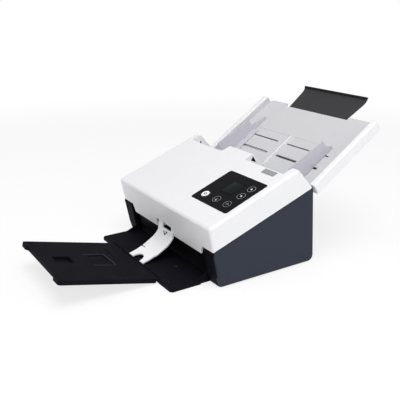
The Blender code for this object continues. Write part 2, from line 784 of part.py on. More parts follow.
def bracket_outline():
    """The arm on the rear cover that the input tray rests on."""
    foot = (REAR_FOOT, UNDERSIDE + REAR_FOOT_RADIUS)
    drop = -(BACK_COVER_DEPTH + FIT)
    inner_z = REAR_COVER_TOP - TRAY_BRACKET_DROP
    wall_y = y_at(foot, PARTING_REAR, inner_z) - WALL / 2
    top_y = y_at(foot, PARTING_REAR, REAR_COVER_TOP) - WALL / 2
    near = tray_place(BACK_COVER_START + FIT, drop)
    far = tray_place(BACK_COVER_START + TRAY_BRACKET_REACH, drop)
    return [(wall_y, inner_z), (far[0], far[1] - WALL), far, near, (top_y, near[1])]


def build_exit_guide(machine):
    foot, top = EXIT_WALL_FOOT, EXIT_WALL_TOP
    outline = [foot, (foot[0] + PLATE, foot[1]), (top[0] + PLATE, top[1]), top]
    half = EXIT_WALL_HALF
    return solid("exit_guide", prism_x(outline, -half, half), "black_moulding", machine)




def build_boards_and_ports(machine):
    low = STANDOFF + FIT
    board = slab(
        (MAIN_BOARD_LEFT, MAIN_BOARD_RIGHT),
        (MAIN_BOARD_FRONT, MAIN_BOARD_REAR),
        (low, low + BOARD_THICKNESS),
    )
    solid("main_board", board, "circuit_board", machine)
    sill = port_sill()
    rear = REAR_FOOT - PORT_MARGIN
    front = rear - PORT_DEPTH
    half = JACK_SIDE / 2
    jack = solid(
        "dc_jack",
        slab((JACK_PLACE - half, JACK_PLACE + half), (front, rear), (sill, sill + JACK_SIDE)),
        "black_moulding",
        machine,
    )
    bore = ring((JACK_PLACE, sill + half), JACK_BORE, ROD_SIDES)
    cut(jack, prism_y(bore, rear - JACK_BORE_DEPTH, rear + OVERRUN))
    half = USB_WIDTH / 2
    usb = solid(
        "usb_port",
        slab((USB_PLACE - half, USB_PLACE + half), (front, rear), (sill, sill + USB_HEIGHT)),
        "bright_steel",
        machine,
    )
    half = USB_SLOT_WIDTH / 2
    low = sill + (USB_HEIGHT - USB_SLOT_HEIGHT) / 2
    cut(
        usb,
        slab(
            (USB_PLACE - half, USB_PLACE + half),
            (rear - JACK_BORE_DEPTH, rear + OVERRUN),
            (low, low + USB_SLOT_HEIGHT),
        ),
    )


def build_feet(machine):
    for y, row in ((FOOT_FRONT, "front"), (FOOT_REAR, "rear")):
        for side, hand in ((-1, "left"), (1, "right")):
            centre = (side * FOOT_SIDE, y)
            shape = post(centre, 0, UNDERSIDE - FIT, FOOT_RADIUS, ROUND_SIDES)
            solid(f"{row}_{hand}_foot", shape, "black_rubber", machine)


def build_hinge_shaft(machine):
    shape = rod(-SHAFT_REACH, SHAFT_REACH, HINGE_SHAFT_RADIUS, HINGE)
    solid("hinge_shaft", shape, "bright_steel", machine)


def window_about(place, radius, half_width):
    margin = radius + ROLLER_WINDOW_MARGIN
    tall = (-OVERRUN, OVERRUN)
    return slab((-half_width, half_width), (place - margin, place + margin), tall)


def tyre_window(place, radius, side):
    margin = radius + ROLLER_WINDOW_MARGIN
    inner = side * (TYRE_INNER - ROLLER_WINDOW_MARGIN)
    outer = side * (TYRE_INNER + TYRE_WIDTH + ROLLER_WINDOW_MARGIN)
    return slab((inner, outer), (place - margin, place + margin), (-OVERRUN, OVERRUN))


def glass_window(gap):
    half = GLASS_LENGTH / 2 + gap
    wide = GLASS_HALF_WIDTH + gap
    return slab((-wide, wide), (SENSOR_PLACE - half, SENSOR_PLACE + half), (-OVERRUN, OVERRUN))


def build_lower_path(path):
    half = PATH_HALF_WIDTH
    span = (LOWER_GUIDE_START, LOWER_GUIDE_END)
    guide = solid("lower_paper_guide", slab((-half, half), span, (-PLATE, 0)), "black_moulding", path)
    cut(guide, window_about(FEED_PLACE, FEED_RADIUS, FEED_HALF_WIDTH + ROLLER_WINDOW_MARGIN))
    for side in (-1, 1):
        cut(guide, tyre_window(DRIVE_PLACE, DRIVE_RADIUS, side))
        cut(guide, tyre_window(EXIT_PLACE, EXIT_RADIUS, side))
        wall = (side * half, side * (half - PLATE))
        deep = (-PLATE - GUIDE_FLANGE, -PLATE / 2)
        add(guide, slab(wall, (LOWER_GUIDE_START, LOWER_FLANGE_END), deep))
    for place, radius in roller_places():
        notch = SHAFT_RADIUS + FIT * 2
        w = ROLLER_PROUD - radius
        cut(guide, rod(-half - OVERRUN, half + OVERRUN, notch, (place, w)))
    cut(guide, glass_window(FIT))
    build_scan_unit("lower", path, -1)


def build_scan_unit(level, holder, side):
    """A contact image sensor and its glass, below the path at side -1 and above it at 1."""
    face = 0 if side < 0 else PATH_GAP
    back = face + side * PLATE
    half = GLASS_LENGTH / 2
    glass = slab(
        (-GLASS_HALF_WIDTH, GLASS_HALF_WIDTH),
        (SENSOR_PLACE - half, SENSOR_PLACE + half),
        (face, back),
    )
    solid(f"{level}_scan_glass", glass, "scan_glass", holder)
    half = SENSOR_LENGTH / 2
    near = back + side * FIT
    module = slab(
        (-SENSOR_HALF_WIDTH, SENSOR_HALF_WIDTH),
        (SENSOR_PLACE - half, SENSOR_PLACE + half),
        (near, near + side * SENSOR_HEIGHT),
    )
    solid(f"{level}_scan_module", module, "black_moulding", holder)


def build_roller(name, path, place, radius, tyres):
    """A driven roller: its shaft, its tyres and its pulley, about its own axis."""
    axis = carrier(f"{name}_axis", path, (0, *roller_axis(place, radius)), local=True)
    shaft = rod(-PULLEY_INNER - PULLEY_WIDTH, SHAFT_REACH, SHAFT_RADIUS)
    solid(f"{name}_shaft", shaft, "bright_steel", axis)
    for label, start, end in tyres:
        barrel = rod(start, end, radius, sides=ROUND_SIDES)
        tyre = solid(f"{name}_{label}", barrel, "grey_rubber", axis)
        cut(tyre, rod(start - OVERRUN, end + OVERRUN, SHAFT_RADIUS + FIT))
    start = -PULLEY_INNER - PULLEY_WIDTH
    wheel = rod(start, start + PULLEY_WIDTH, PULLEY_RADIUS, sides=ROUND_SIDES)
    pulley = solid(f"{name}_pulley", wheel, "nylon", axis)
    cut(pulley, rod(start - OVERRUN, start + PULLEY_WIDTH + OVERRUN, SHAFT_RADIUS + FIT))


def build_rollers(path):
    pair = [
        ("left_tyre", -TYRE_INNER - TYRE_WIDTH, -TYRE_INNER),
        ("right_tyre", TYRE_INNER, TYRE_INNER + TYRE_WIDTH),
    ]
    middle = [("tyre", -FEED_HALF_WIDTH, FEED_HALF_WIDTH)]
    build_roller("feed_roller", path, FEED_PLACE, FEED_RADIUS, middle)
    build_roller("drive_roller", path, DRIVE_PLACE, DRIVE_RADIUS, pair)
    build_roller("exit_roller", path, EXIT_PLACE, EXIT_RADIUS, pair)


def build_motor(machine):
    start = -FRAME_PLACE + FIT
    can = rod(start, start + MOTOR_LENGTH, MOTOR_RADIUS, MOTOR_PLACE, ROUND_SIDES)
    motor = solid("drive_motor", can, "motor_can", machine)
    bore = MOTOR_SHAFT_RADIUS + FIT
    cut(motor, rod(start - OVERRUN, start + MOTOR_BORE_DEPTH, bore, MOTOR_PLACE))
    axis = carrier("motor_axis", machine, (0, *MOTOR_PLACE))
    outer = -PULLEY_INNER - PULLEY_WIDTH
    wheel = rod(outer, outer + PULLEY_WIDTH, MOTOR_PULLEY_RADIUS, MOTOR_PLACE)
    pulley = solid("motor_pulley", wheel, "nylon", axis)
    inner = start + MOTOR_BORE_DEPTH / 2
    add(pulley, rod(outer + PULLEY_WIDTH / 2, inner, MOTOR_SHAFT_RADIUS, MOTOR_PLACE))


def hull(points):
    """The convex outline round a set of places, anticlockwise."""
    ordered = sorted(set(points))

    def half_hull(sequence):
        chain = []
        for point in sequence:
            while len(chain) > 1:
                a, b = Vector(chain[-2]), Vector(chain[-1])
                turn = (b - a).cross(Vector(point) - a)
                if turn > 0:
                    break
                chain.pop()
            chain.append(point)
        return chain[:-1]

    return half_hull(ordered) + half_hull(reversed(ordered))


def build_belt(machine):
    """One flat belt round the motor pulley and the three roller pulleys."""
    centres = [path_point(*roller_axis(place, radius)) for place, radius in roller_places()]
    wheels = [(centre, PULLEY_RADIUS) for centre in centres]
    wheels.append((MOTOR_PLACE, MOTOR_PULLEY_RADIUS))
    loops = []
    for grow in (FIT, FIT + BELT_THICKNESS):
        points = [p for centre, radius in wheels for p in ring(centre, radius + grow, ROUND_SIDES)]
        loops.append(hull(points))
    start = -PULLEY_INNER - PULLEY_WIDTH + FIT
    end = -PULLEY_INNER - FIT
    belt = solid("drive_belt", prism_x(loops[1], start, end), "black_rubber", machine)
    cut(belt, prism_x(loops[0], start - OVERRUN, end + OVERRUN))


def bay_outline(grow):
    """The recess in the rear of the cover that the paper guides reach into."""
    slope = Vector(PARTING_REAR) - Vector(COVER_REAR_TOP)
    across = Vector((-slope.y, slope.x)).normalized() * -grow
    top = Vector((BAY_TOP_Y, line_at(COVER_FRONT_TOP, COVER_REAR_TOP, BAY_TOP_Y)))
    high = top + across - slope * (OVERRUN / slope.length)
    low = top + across + slope * 1.6
    far = COVER_REAR_TOP[0] + OVERRUN * 2
    return [tuple(high), tuple(low), (far, low.y), (far, high.y)]


def build_cover_shell(hinge):
    outline = cover_outline()
    block = prism_x(outline, -BODY_HALF, BODY_HALF)
    foot_z = COVER_FOOT[1]
    corners = [Vector(COVER_FRONT_TOP), Vector(COVER_REAR_TOP)]

    def shoulder(a, b):
        """Every edge that ends at a corner of the top face."""
        return any((end.yz - corner).length < FIT for end in (a, b) for corner in corners)

    round_edges(block, COVER_EDGE_RADIUS, COVER_EDGE_STEPS, shoulder)
    shell = solid("top_cover_shell", block, "white_shell", hinge)
    inner = inset(outline, WALL)
    face = (Vector(outline[0]) - Vector(outline[3])).normalized()
    slope = (Vector(outline[1]) - Vector(outline[2])).normalized()
    inner[0] = tuple(Vector(inner[0]) + face * OVERRUN)
    inner[1] = tuple(Vector(inner[1]) + slope * OVERRUN)
    cavity = combine(shell, prism_x(inner, -BODY_HALF + WALL, BODY_HALF - WALL), "DIFFERENCE")
    for side in (-1, 1):
        bay = (side * BAY_INNER, side * BAY_OUTER)
        cut(shell, prism_x(bay_outline(0), *bay))
        wall = (side * (BAY_INNER - WALL), side * (BAY_OUTER + WALL))
        hollow = place_shape(f"bay_wall_{side + 1}", prism_x(bay_outline(WALL), *wall), hinge)
        hollow.hide_render = True
        hollow.display_type = "WIRE"
        keep = cavity.modifiers.new(f"bay_{side + 1}", "BOOLEAN")
        keep.operation = "DIFFERENCE"
        keep.object = hollow
    cut_parting(shell)
    add_cover_lugs(shell)
    depth = (COVER_FRONT_TOP[0], HINGE[0])
    cut(shell, slab((NOTCH_LEFT, NOTCH_RIGHT), depth, (foot_z - OVERRUN, NOTCH_TOP)))
    return shell


def cut_parting(shell):
    """Opens the cover's underside over each side of the base, round the hinge hub."""
    touch = parting_angle()
    lip_z = HINGE[1] + LIP_RISE
    lip = math.pi - math.asin(LIP_RISE / (HUB_RADIUS + WALL))
    radius = HUB_RADIUS + PARTING_STEP
    back = Vector((-parting_normal().y, parting_normal().x)) * -1
    start = Vector(HINGE) + parting_normal() * radius
    rear = start + back * (PARTING_REAR[0] - HINGE[0] + OVERRUN * 2)
    low = COVER_FOOT[1] - OVERRUN
    front = COVER_FRONT_TOP[0] - OVERRUN
    outline = [(front, low), (rear.x, low), tuple(rear)]
    outline += hub_arc(radius, touch, lip) + [(front, lip_z)]
    for side in (-1, 1):
        cut(shell, prism_x(outline, side * APRON_HALF_TOP, side * (BODY_HALF + OVERRUN)))
        wedge = [
            (side * APRON_HALF_TOP, lip_z),
            (side * (APRON_HALF_TOP + WALL), lip_z),
            (side * (APRON_HALF_TOP + WALL), low),
            (side * (APRON_HALF_FOOT * 2 - APRON_HALF_TOP), low),
            (side * APRON_HALF_FOOT, COVER_FOOT[1]),
        ]
        cut(shell, prism_y(wedge, front, HINGE[0] + HUB_RADIUS / 4))


def add_cover_lugs(shell):
    """The two eyes inside the apron that turn on the hinge shaft."""
    face_y = y_at(COVER_FOOT, COVER_FRONT_TOP, HINGE[1] + LUG_WEB_HEIGHT) + WALL / 2
    web = [
        (y_at(COVER_FOOT, COVER_FRONT_TOP, HINGE[1]) + WALL / 2, HINGE[1]),
        (HINGE[0] + LUG_RADIUS, HINGE[1]),
        (HINGE[0] + LUG_RADIUS, HINGE[1] + LUG_WEB_DEPTH),
        (face_y, HINGE[1] + LUG_WEB_HEIGHT),
    ]
    for side in (-1, 1):
        ends = (side * LUG_INNER, side * (LUG_INNER + LUG_WIDTH))
        add(shell, rod(*ends, LUG_RADIUS, HINGE, ROUND_SIDES))
        add(shell, prism_x(web, side * (LUG_INNER + FIT), side * (LUG_INNER + LUG_WIDTH - FIT)))
        past = (side * (LUG_INNER - WALL), side * (LUG_INNER + LUG_WIDTH + WALL))
        cut(shell, rod(*past, HINGE_SHAFT_RADIUS + FIT, HINGE))


def add_panel_seat(shell, face):
    """Cuts the recess and window for the control panel, in the frame of the top face."""
    corners = rectangle((PANEL_LEFT, PANEL_RIGHT), (PANEL_FRONT, PANEL_REAR))
    recess = rounded(corners, PANEL_CORNER_RADIUS)
    cut_on(shell, face, prism_z(recess, -PANEL_DEPTH - FIT, OVERRUN))
    rim = PANEL_RIM
    window = slab(
        (PANEL_LEFT + rim, PANEL_RIGHT - rim),
        (PANEL_FRONT + rim, PANEL_REAR - rim),
        (-WALL - OVERRUN, OVERRUN),
    )
    cut_on(shell, face, window)
    for x in (PANEL_LEFT + rim / 2, PANEL_RIGHT - rim / 2):
        for y in (PANEL_FRONT + rim / 2, PANEL_REAR - rim / 2):
            add_on(shell, face, post((x, y), -BOARD_DEPTH + FIT, -WALL / 1.6, POST_RADIUS, 12))
    span = (RELEASE_LEFT - FIT, RELEASE_RIGHT + FIT)
    low = -RELEASE_THICKNESS - WALL / 3
    hole = slab(span, (RELEASE_FRONT - FIT, RELEASE_REAR + FIT), (low, OVERRUN))
    cut_on(shell, face, hole)


def on_face(piece, face, shape, operation):
    """Combines a piece with a shape that is drawn in the frame of the top face."""
    global CUTTER_COUNT
    CUTTER_COUNT += 1
    helper = place_shape(f"face_helper_{CUTTER_COUNT}", shape, face)
    helper.hide_render = True
    helper.display_type = "WIRE"
    step = piece.modifiers.new(f"face_{CUTTER_COUNT}", "BOOLEAN")
    step.operation = operation
    step.object = helper


def cut_on(piece, face, shape):
    on_face(piece, face, shape, "DIFFERENCE")


def add_on(piece, face, shape):
    on_face(piece, face, shape, "UNION")


def build_control_panel(face):
    outline = rounded(
        rectangle((PANEL_LEFT + FIT, PANEL_RIGHT - FIT), (PANEL_FRONT + FIT, PANEL_REAR - FIT)),
        PANEL_CORNER_RADIUS - FIT,
    )
    panel = solid("control_panel", prism_z(outline, -PANEL_DEPTH, PANEL_STAND), "black_panel", face)
    tall = (-OVERRUN, OVERRUN)
    places = {
        name: (PANEL_LEFT + PANEL_WIDTH * x, PANEL_FRONT + PANEL_LENGTH * y)
        for name, (x, y) in BUTTON_PLACE_SHARES.items()
    }
    for centre in places.values():
        cut(panel, post(centre, *tall, BUTTON_RADIUS + FIT, ROUND_SIDES))
    cut(panel, slab((DISPLAY_LEFT, DISPLAY_RIGHT), (DISPLAY_FRONT, DISPLAY_REAR), tall))
    window = slab(
        (DISPLAY_LEFT + FIT, DISPLAY_RIGHT - FIT),
        (DISPLAY_FRONT + FIT, DISPLAY_REAR - FIT),
        (-PANEL_DEPTH, PANEL_STAND),
    )
    solid("display_window", window, "dark_window", face)
    board = slab(
        (PANEL_LEFT + BOARD_MARGIN, PANEL_RIGHT - BOARD_MARGIN),
        (PANEL_FRONT + BOARD_MARGIN, PANEL_REAR - BOARD_MARGIN),
        (-BOARD_DEPTH - BOARD_THICKNESS, -BOARD_DEPTH),
    )
    solid("control_board", board, "circuit_board", face)
    for name, centre in places.items():
        material = "pale_button" if name == "power_button" else "black_panel"
        cap = post(centre, -BUTTON_SKIRT, BUTTON_STAND, BUTTON_RADIUS, ROUND_SIDES)
        button = solid(name, cap, material, face)
        foot = -BOARD_DEPTH + BUTTON_TRAVEL + FIT
        add(button, post(centre, foot, -BUTTON_SKIRT / 2, BUTTON_STEM_RADIUS, 12))
    release = slab(
        (RELEASE_LEFT, RELEASE_RIGHT),
        (RELEASE_FRONT, RELEASE_REAR),
        (RELEASE_STAND - RELEASE_THICKNESS, RELEASE_STAND),
    )
    solid("release_button", release, "grey_button", face)


def build_upper_path(path):
    half = PATH_HALF_WIDTH
    span = (UPPER_GUIDE_START, UPPER_GUIDE_END)
    low, high = PATH_GAP, PATH_GAP + PLATE
    guide = solid("upper_paper_guide", slab((-half, half), span, (low, high)), "black_moulding", path)
    for side in (-1, 1):
        wall = (side * half, side * (half - PLATE))
        tall = (low + PLATE / 2, high + GUIDE_FLANGE)
        add(guide, slab(wall, (UPPER_FLANGE_START, UPPER_FLANGE_END), tall))
    cut(guide, window_about(FEED_PLACE, SEPARATION_RADIUS, FEED_HALF_WIDTH + ROLLER_WINDOW_MARGIN))
    cut(guide, window_about(DRIVE_PLACE, PINCH_RADIUS, PINCH_HALF_WIDTH + ROLLER_WINDOW_MARGIN))
    cut(guide, glass_window(FIT))
    build_idle_roller("separation_roller", guide, path, FEED_PLACE, SEPARATION_RADIUS, FEED_HALF_WIDTH)
    build_idle_roller("pinch_roller", guide, path, DRIVE_PLACE, PINCH_RADIUS, PINCH_HALF_WIDTH)
    build_scan_unit("upper", path, 1)


def build_idle_roller(name, guide, path, place, radius, half_width):
    """A free roller over a driven one, in two cheeks of the upper guide."""
    w = ROLLER_PROUD + NIP + radius
    foot = PATH_GAP + PLATE / 2
    for side in (-1, 1):
        near = side * (half_width + ROLLER_WINDOW_MARGIN)
        block = (near, near + side * CHEEK_THICKNESS)
        reach = radius + ROLLER_WINDOW_MARGIN + CHEEK_HALF_LENGTH
        add(guide, slab(block, (place - reach, place + reach), (foot, w + CHEEK_HALF_LENGTH)))
        far = near + side * CHEEK_THICKNESS * 2
        cut(guide, rod(near - side * FIT, far, JOURNAL_RADIUS + FIT, (place, w)))
    axis = carrier(f"{name}_axis", path, (0, place, w), local=True)
    roller = solid(name, rod(-half_width, half_width, radius, sides=ROUND_SIDES), "grey_rubber", axis)
    reach = half_width + ROLLER_WINDOW_MARGIN + CHEEK_THICKNESS
    add(roller, rod(-reach, reach, JOURNAL_RADIUS, sides=ROD_SIDES))


def build_tongue(machine):
    """The curved, forked strip that keeps sheets down in the output tray."""
    axis = carrier("tongue_axis", machine, (0, *HINGE))
    upper = [Vector(p) for p in TONGUE_CURVE]
    lower = []
    for i, here in enumerate(upper):
        ahead = upper[min(i + 1, len(upper) - 1)] - upper[max(i - 1, 0)]
        under = Vector((-ahead.y, ahead.x)).normalized() * TONGUE_THICKNESS
        lower.append(here + under)
    strip = [tuple(p) for p in upper] + [tuple(p) for p in reversed(lower)]
    tongue = solid("press_tongue", prism_x(strip, TONGUE_LEFT, TONGUE_RIGHT), "white_shell", axis)
    add(tongue, rod(TONGUE_LEFT + FIT, TONGUE_RIGHT - FIT, TONGUE_KNUCKLE_RADIUS, HINGE, ROUND_SIDES))
    cut(tongue, rod(TONGUE_LEFT - OVERRUN, TONGUE_RIGHT + OVERRUN, HINGE_SHAFT_RADIUS + FIT, HINGE))
    middle = (TONGUE_LEFT + TONGUE_RIGHT) / 2
    tip = TONGUE_CURVE[-1][0]
    root = tip + FORK_DEPTH
    fork = arc((middle, root - FORK_HALF_WIDTH), FORK_HALF_WIDTH, 0, math.pi, 8)
    fork.insert(0, (middle + FORK_HALF_WIDTH, tip - OVERRUN))
    fork.append((middle - FORK_HALF_WIDTH, tip - OVERRUN))
    cut(tongue, prism_z(fork, 0, HINGE[1] / 2))
    step = (TONGUE_RIGHT - TONGUE_STEP_WIDTH, TONGUE_RIGHT + OVERRUN)
    cut(tongue, slab(step, (tip - OVERRUN, TONGUE_STEP_Y), (0, HINGE[1] / 2)))
    through = (HINGE[0] - OVERRUN, HINGE[0] + OVERRUN)
    cut(tongue, slab(TONGUE_WINDOW, through, (TONGUE_WINDOW_FOOT, HINGE[1] + OVERRUN)))
    for x, z in (TONGUE_SLOT, TONGUE_HOLE):
        cut(tongue, slab(x, through, z))
    for x, y in (TONGUE_SIDE_HOLE, TONGUE_SIDE_NOTCH):
        cut(tongue, slab(x, y, (0, HINGE[1] / 2)))
    return tongue


def build_output_tray(machine):
    axis = carrier("output_tray_axis", machine, (0, *TRAY_PIVOT))
    neck, wide = TRAY_NECK_HALF_WIDTH, TRAY_HALF_WIDTH
    hinge_half = EXTENSION_HALF_WIDTH + FIT * 2
    cut_back = EXTENSION_HINGE[0] + BARREL_RADIUS + BARREL_GAP
    plan = [
        (-neck, TRAY_REAR), (-neck, TRAY_SHOULDER), (-wide, TRAY_SHOULDER - (wide - neck)),
        (-wide, TRAY_FRONT + TRAY_CORNER), (-wide + TRAY_CORNER, TRAY_FRONT),
        (-hinge_half, TRAY_FRONT), (-hinge_half, cut_back), (hinge_half, cut_back),
        (hinge_half, TRAY_FRONT), (wide - TRAY_CORNER, TRAY_FRONT),
        (wide, TRAY_FRONT + TRAY_CORNER), (wide, TRAY_SHOULDER - (wide - neck)),
        (neck, TRAY_SHOULDER), (neck, TRAY_REAR),
    ]
    tray = solid("output_tray", prism_z(plan, TRAY_UNDERSIDE, TRAY_TOP), "charcoal_tray", axis)
    hollow = inset(plan, TRAY_SKIN)
    cut(tray, prism_z(hollow, TRAY_UNDERSIDE - OVERRUN, TRAY_TOP - TRAY_SKIN))
    arm = [
        (TRAY_ARM_START, TRAY_TOP - TRAY_SKIN / 2),
        (TRAY_REAR, TRAY_TOP - TRAY_SKIN / 2),
        (TRAY_PIVOT[0] + TRAY_BOSS_RADIUS * ARM_NECK_SHARE, TRAY_PIVOT[1]),
        (TRAY_PIVOT[0] - TRAY_BOSS_RADIUS * ARM_NECK_SHARE, TRAY_PIVOT[1]),
    ]
    for side in (-1, 1):
        ends = (side * (neck - TRAY_ARM_WIDTH), side * neck)
        add(tray, prism_x(arm, *ends))
        boss = (side * (neck - TRAY_ARM_WIDTH + FIT), side * (neck - FIT))
        add(tray, rod(*boss, TRAY_BOSS_RADIUS, TRAY_PIVOT, ROUND_SIDES))
        pin = (side * (neck - TRAY_ARM_WIDTH / 2), side * (neck + TRAY_PIN_LENGTH))
        add(tray, rod(*pin, TRAY_PIN_RADIUS, TRAY_PIVOT))
        start = side * (hinge_half - FIT)
        end = side * (hinge_half + TRAY_SKIN * 2)
        cut(tray, rod(start, end, BARREL_PIN_RADIUS + FIT, EXTENSION_HINGE))
    return axis


def extension_plan():
    """Half the outline of the extension, mirrored, with an ear on each side of its far edge."""
    half = EXTENSION_HALF_WIDTH
    far = EXTENSION_LENGTH
    corner = arc((half - EAR_RADIUS, far - EAR_RADIUS), EAR_RADIUS, 0, math.pi / 2, 3)
    right = [(half, 0.0)] + corner
    right += [(EAR_INNER + EAR_REACH, far), (EAR_INNER, far - EAR_REACH)]
    left = [(-x, y) for x, y in reversed(right)]
    return [(x, -y) for x, y in right + left]


def build_output_extension(tray_axis):
    hinge = (0, *EXTENSION_HINGE)
    slope = carrier("output_extension_axis", tray_axis, hinge, -EXTENSION_TILT, local=True)
    top = EXTENSION_TOP
    plan = extension_plan()
    block = prism_z(plan, top - EXTENSION_FLANGE, top)
    sheet = solid("output_extension", block, "charcoal_tray", slope)
    hollow = inset(list(reversed(plan)), EXTENSION_SKIN)
    start = BARREL_RADIUS * 1.5
    hollow = [(x, min(y, -start)) for x, y in hollow]
    cut(sheet, prism_z(hollow, top - EXTENSION_FLANGE - OVERRUN, top - EXTENSION_SKIN))
    half = EXTENSION_HALF_WIDTH
    tall = (top - EXTENSION_FLANGE - OVERRUN, top + OVERRUN)
    cut(sheet, slab((-half - OVERRUN, half + OVERRUN), (-start, OVERRUN), tall))
    add(sheet, rod(-half, half, BARREL_RADIUS, sides=ROUND_SIDES))
    web = (-start - EXTENSION_SKIN, 0)
    add(sheet, slab((-half + FIT, half - FIT), web, (top - EXTENSION_SKIN, top - FIT)))
    add(sheet, rod(-half - BARREL_PIN_LENGTH, half + BARREL_PIN_LENGTH, BARREL_PIN_RADIUS))
    wall = SLOT_HALF_WIDTH + WELL_WALL
    span = (-SLOT_END - WELL_WALL, -SLOT_START + WELL_WALL)
    floor = top - WELL_DEPTH
    add(sheet, slab((-wall, wall), span, (floor - WELL_FLOOR, top - EXTENSION_SKIN / 2)))
    well = slab((-SLOT_HALF_WIDTH, SLOT_HALF_WIDTH), (-SLOT_END, -SLOT_START), (floor, OVERRUN))
    cut(sheet, well)
    axle = (-STOP_AXLE, top - EXTENSION_SKIN - STOP_AXLE_DROP + STOP_KNUCKLE_RADIUS)
    reach = SLOT_HALF_WIDTH + STOP_PIN_LENGTH
    cut(sheet, rod(-reach, reach, STOP_PIN_RADIUS + FIT, axle))
    recess = [
        (-RECESS_HALF_START, -RECESS_START),
        (-RECESS_HALF_END, -RECESS_END),
        (RECESS_HALF_END, -RECESS_END),
        (RECESS_HALF_START, -RECESS_START),
    ]
    cut(sheet, prism_z(recess, top - RECESS_DEPTH, top + OVERRUN))
    build_paper_stop(slope, axle)


def build_paper_stop(slope, axle):
    axis = carrier("paper_stop_axis", slope, (0, *axle), local=True)
    half = SLOT_HALF_WIDTH - FIT
    top = EXTENSION_TOP - axle[1]
    length = STOP_AXLE - SLOT_START - FIT
    plate = slab((-half, half), (0, length), (top - EXTENSION_SKIN, top))
    stop = solid("paper_stop", plate, "charcoal_tray", axis)
    add(stop, rod(-half + FIT, half - FIT, STOP_KNUCKLE_RADIUS))
    reach = SLOT_HALF_WIDTH + STOP_PIN_LENGTH - FIT
    add(stop, rod(-reach, reach, STOP_PIN_RADIUS, sides=12))


def build_input_tray(slope):
    edge = RAIL_INNER
    plan = [
        (-edge, INPUT_START), (edge, INPUT_START), (edge, INPUT_HORN_END - WALL * 2),
        (edge - WALL * 4, INPUT_HORN_END), (HORN_RIGHT + WALL, INPUT_HORN_END),
        (HORN_RIGHT, INPUT_END), (HORN_LEFT, INPUT_END),
        (HORN_LEFT - WALL, INPUT_HORN_END), (-edge + WALL * 4, INPUT_HORN_END),
        (-edge, INPUT_HORN_END - WALL * 2),
    ]
    tray = solid("input_tray", prism_z(plan, -INPUT_SKIN, 0), "light_tray", slope)
    for side in (-1, 1):
        rail = rail_shape(side)
        add(tray, rail)
    rib = slab((-RIB_HALF_WIDTH, RIB_HALF_WIDTH), (RIB_START, RIB_END), (-INPUT_SKIN / 2, RIB_HEIGHT))
    add(tray, rib)
    for place, width in ((LOW_SLOT_PLACE, LOW_SLOT_WIDTH), (HIGH_SLOT_PLACE, HIGH_SLOT_WIDTH)):
        for across in ((-GUIDE_SLOT_OUTER, -GUIDE_SLOT_LEFT), (GUIDE_SLOT_RIGHT, GUIDE_SLOT_OUTER)):
            cut(tray, slab(across, (place - width / 2, place + width / 2), (-OVERRUN, OVERRUN)))
    cut(tray, post((0, PINION_PLACE), -OVERRUN, -INPUT_SKIN / 2, PINION_AXLE_RADIUS + FIT, 12))
    return tray


def rail_shape(side):
    """One raised side rail, with its long edges and its ends rounded."""
    x = (side * (RAIL_INNER - FIT), side * RAIL_OUTER)
    shape = slab(x, (RAIL_START, RAIL_END), (-RAIL_UNDERSIDE, RAIL_TOP))

    def upper(a, b):
        lengthwise = abs(a.y - b.y) > FIT
        both_high = min(a.z, b.z) > RAIL_TOP - FIT
        upright = abs(a.z - b.z) > FIT
        outer = min(abs(a.x), abs(b.x)) > RAIL_OUTER - FIT
        return both_high or (upright and outer) or (lengthwise and outer and both_high)

    return round_edges(shape, RAIL_RADIUS, RAIL_STEPS, upper)


def build_tray_back_cover(slope):
    half = BACK_COVER_HALF_WIDTH
    span = (BACK_COVER_START, BACK_COVER_END)
    top = -INPUT_SKIN - FIT
    block = slab((-half, half), span, (-BACK_COVER_DEPTH, top))
    cover = solid("tray_back_cover", block, "light_tray", slope)
    room = slab(
        (-half + WALL, half - WALL),
        (BACK_COVER_START + WALL, BACK_COVER_END + OVERRUN),
        (-BACK_COVER_DEPTH + PLATE, OVERRUN),
    )
    cut(cover, room)
    centre = (0, PINION_PLACE)
    foot = -BACK_COVER_DEPTH + PLATE / 2
    add(cover, post(centre, foot, -RACK_BOTTOM - FIT, PINION_AXLE_RADIUS * 2, 12))
    cut(cover, post(centre, foot, OVERRUN, PINION_AXLE_RADIUS + FIT, 12))


def build_input_extension(slope):
    """The sheet that slides out from under the tray, a little wider at its curled tip."""
    top = -INPUT_SKIN - FIT
    upper = [(SHEET_START, top)] + [(s, top + rise) for s, rise in SHEET_CURL]
    lower = [(SHEET_START, top - SHEET_THICKNESS)]
    for i, (s, n) in enumerate(upper[1:], start=1):
        ahead = Vector(upper[min(i + 1, len(upper) - 1)]) - Vector(upper[i - 1])
        under = Vector((ahead.y, -ahead.x)).normalized() * SHEET_THICKNESS
        lower.append((s + under.x, n + under.y))
    outline = lower + upper[::-1]
    tip = SHEET_CURL[-1][0]

    def half(s):
        share = (s - SHEET_START) / (tip - SHEET_START)
        return SHEET_HALF_START + (SHEET_HALF_TIP - SHEET_HALF_START) * share

    left = [(SHEET_PLACE - half(s), s, n) for s, n in outline]
    right = [(SHEET_PLACE + half(s), s, n) for s, n in outline]
    solid("input_extension", between(left, right), "grey_sheet", slope)


def guide_profile(brace_end):
    """The fin of a side guide, as (s, n): tall at the throat, lower at its rear, with a brace."""
    return [
        (GUIDE_START, GUIDE_LIFT),
        (brace_end, GUIDE_LIFT),
        (brace_end, GUIDE_BRACE_HEIGHT),
        (GUIDE_END, GUIDE_REAR_HEIGHT / 2),
        (GUIDE_END - WALL, GUIDE_REAR_HEIGHT),
        (GUIDE_START - GUIDE_LIFT, GUIDE_FRONT_HEIGHT),
    ]


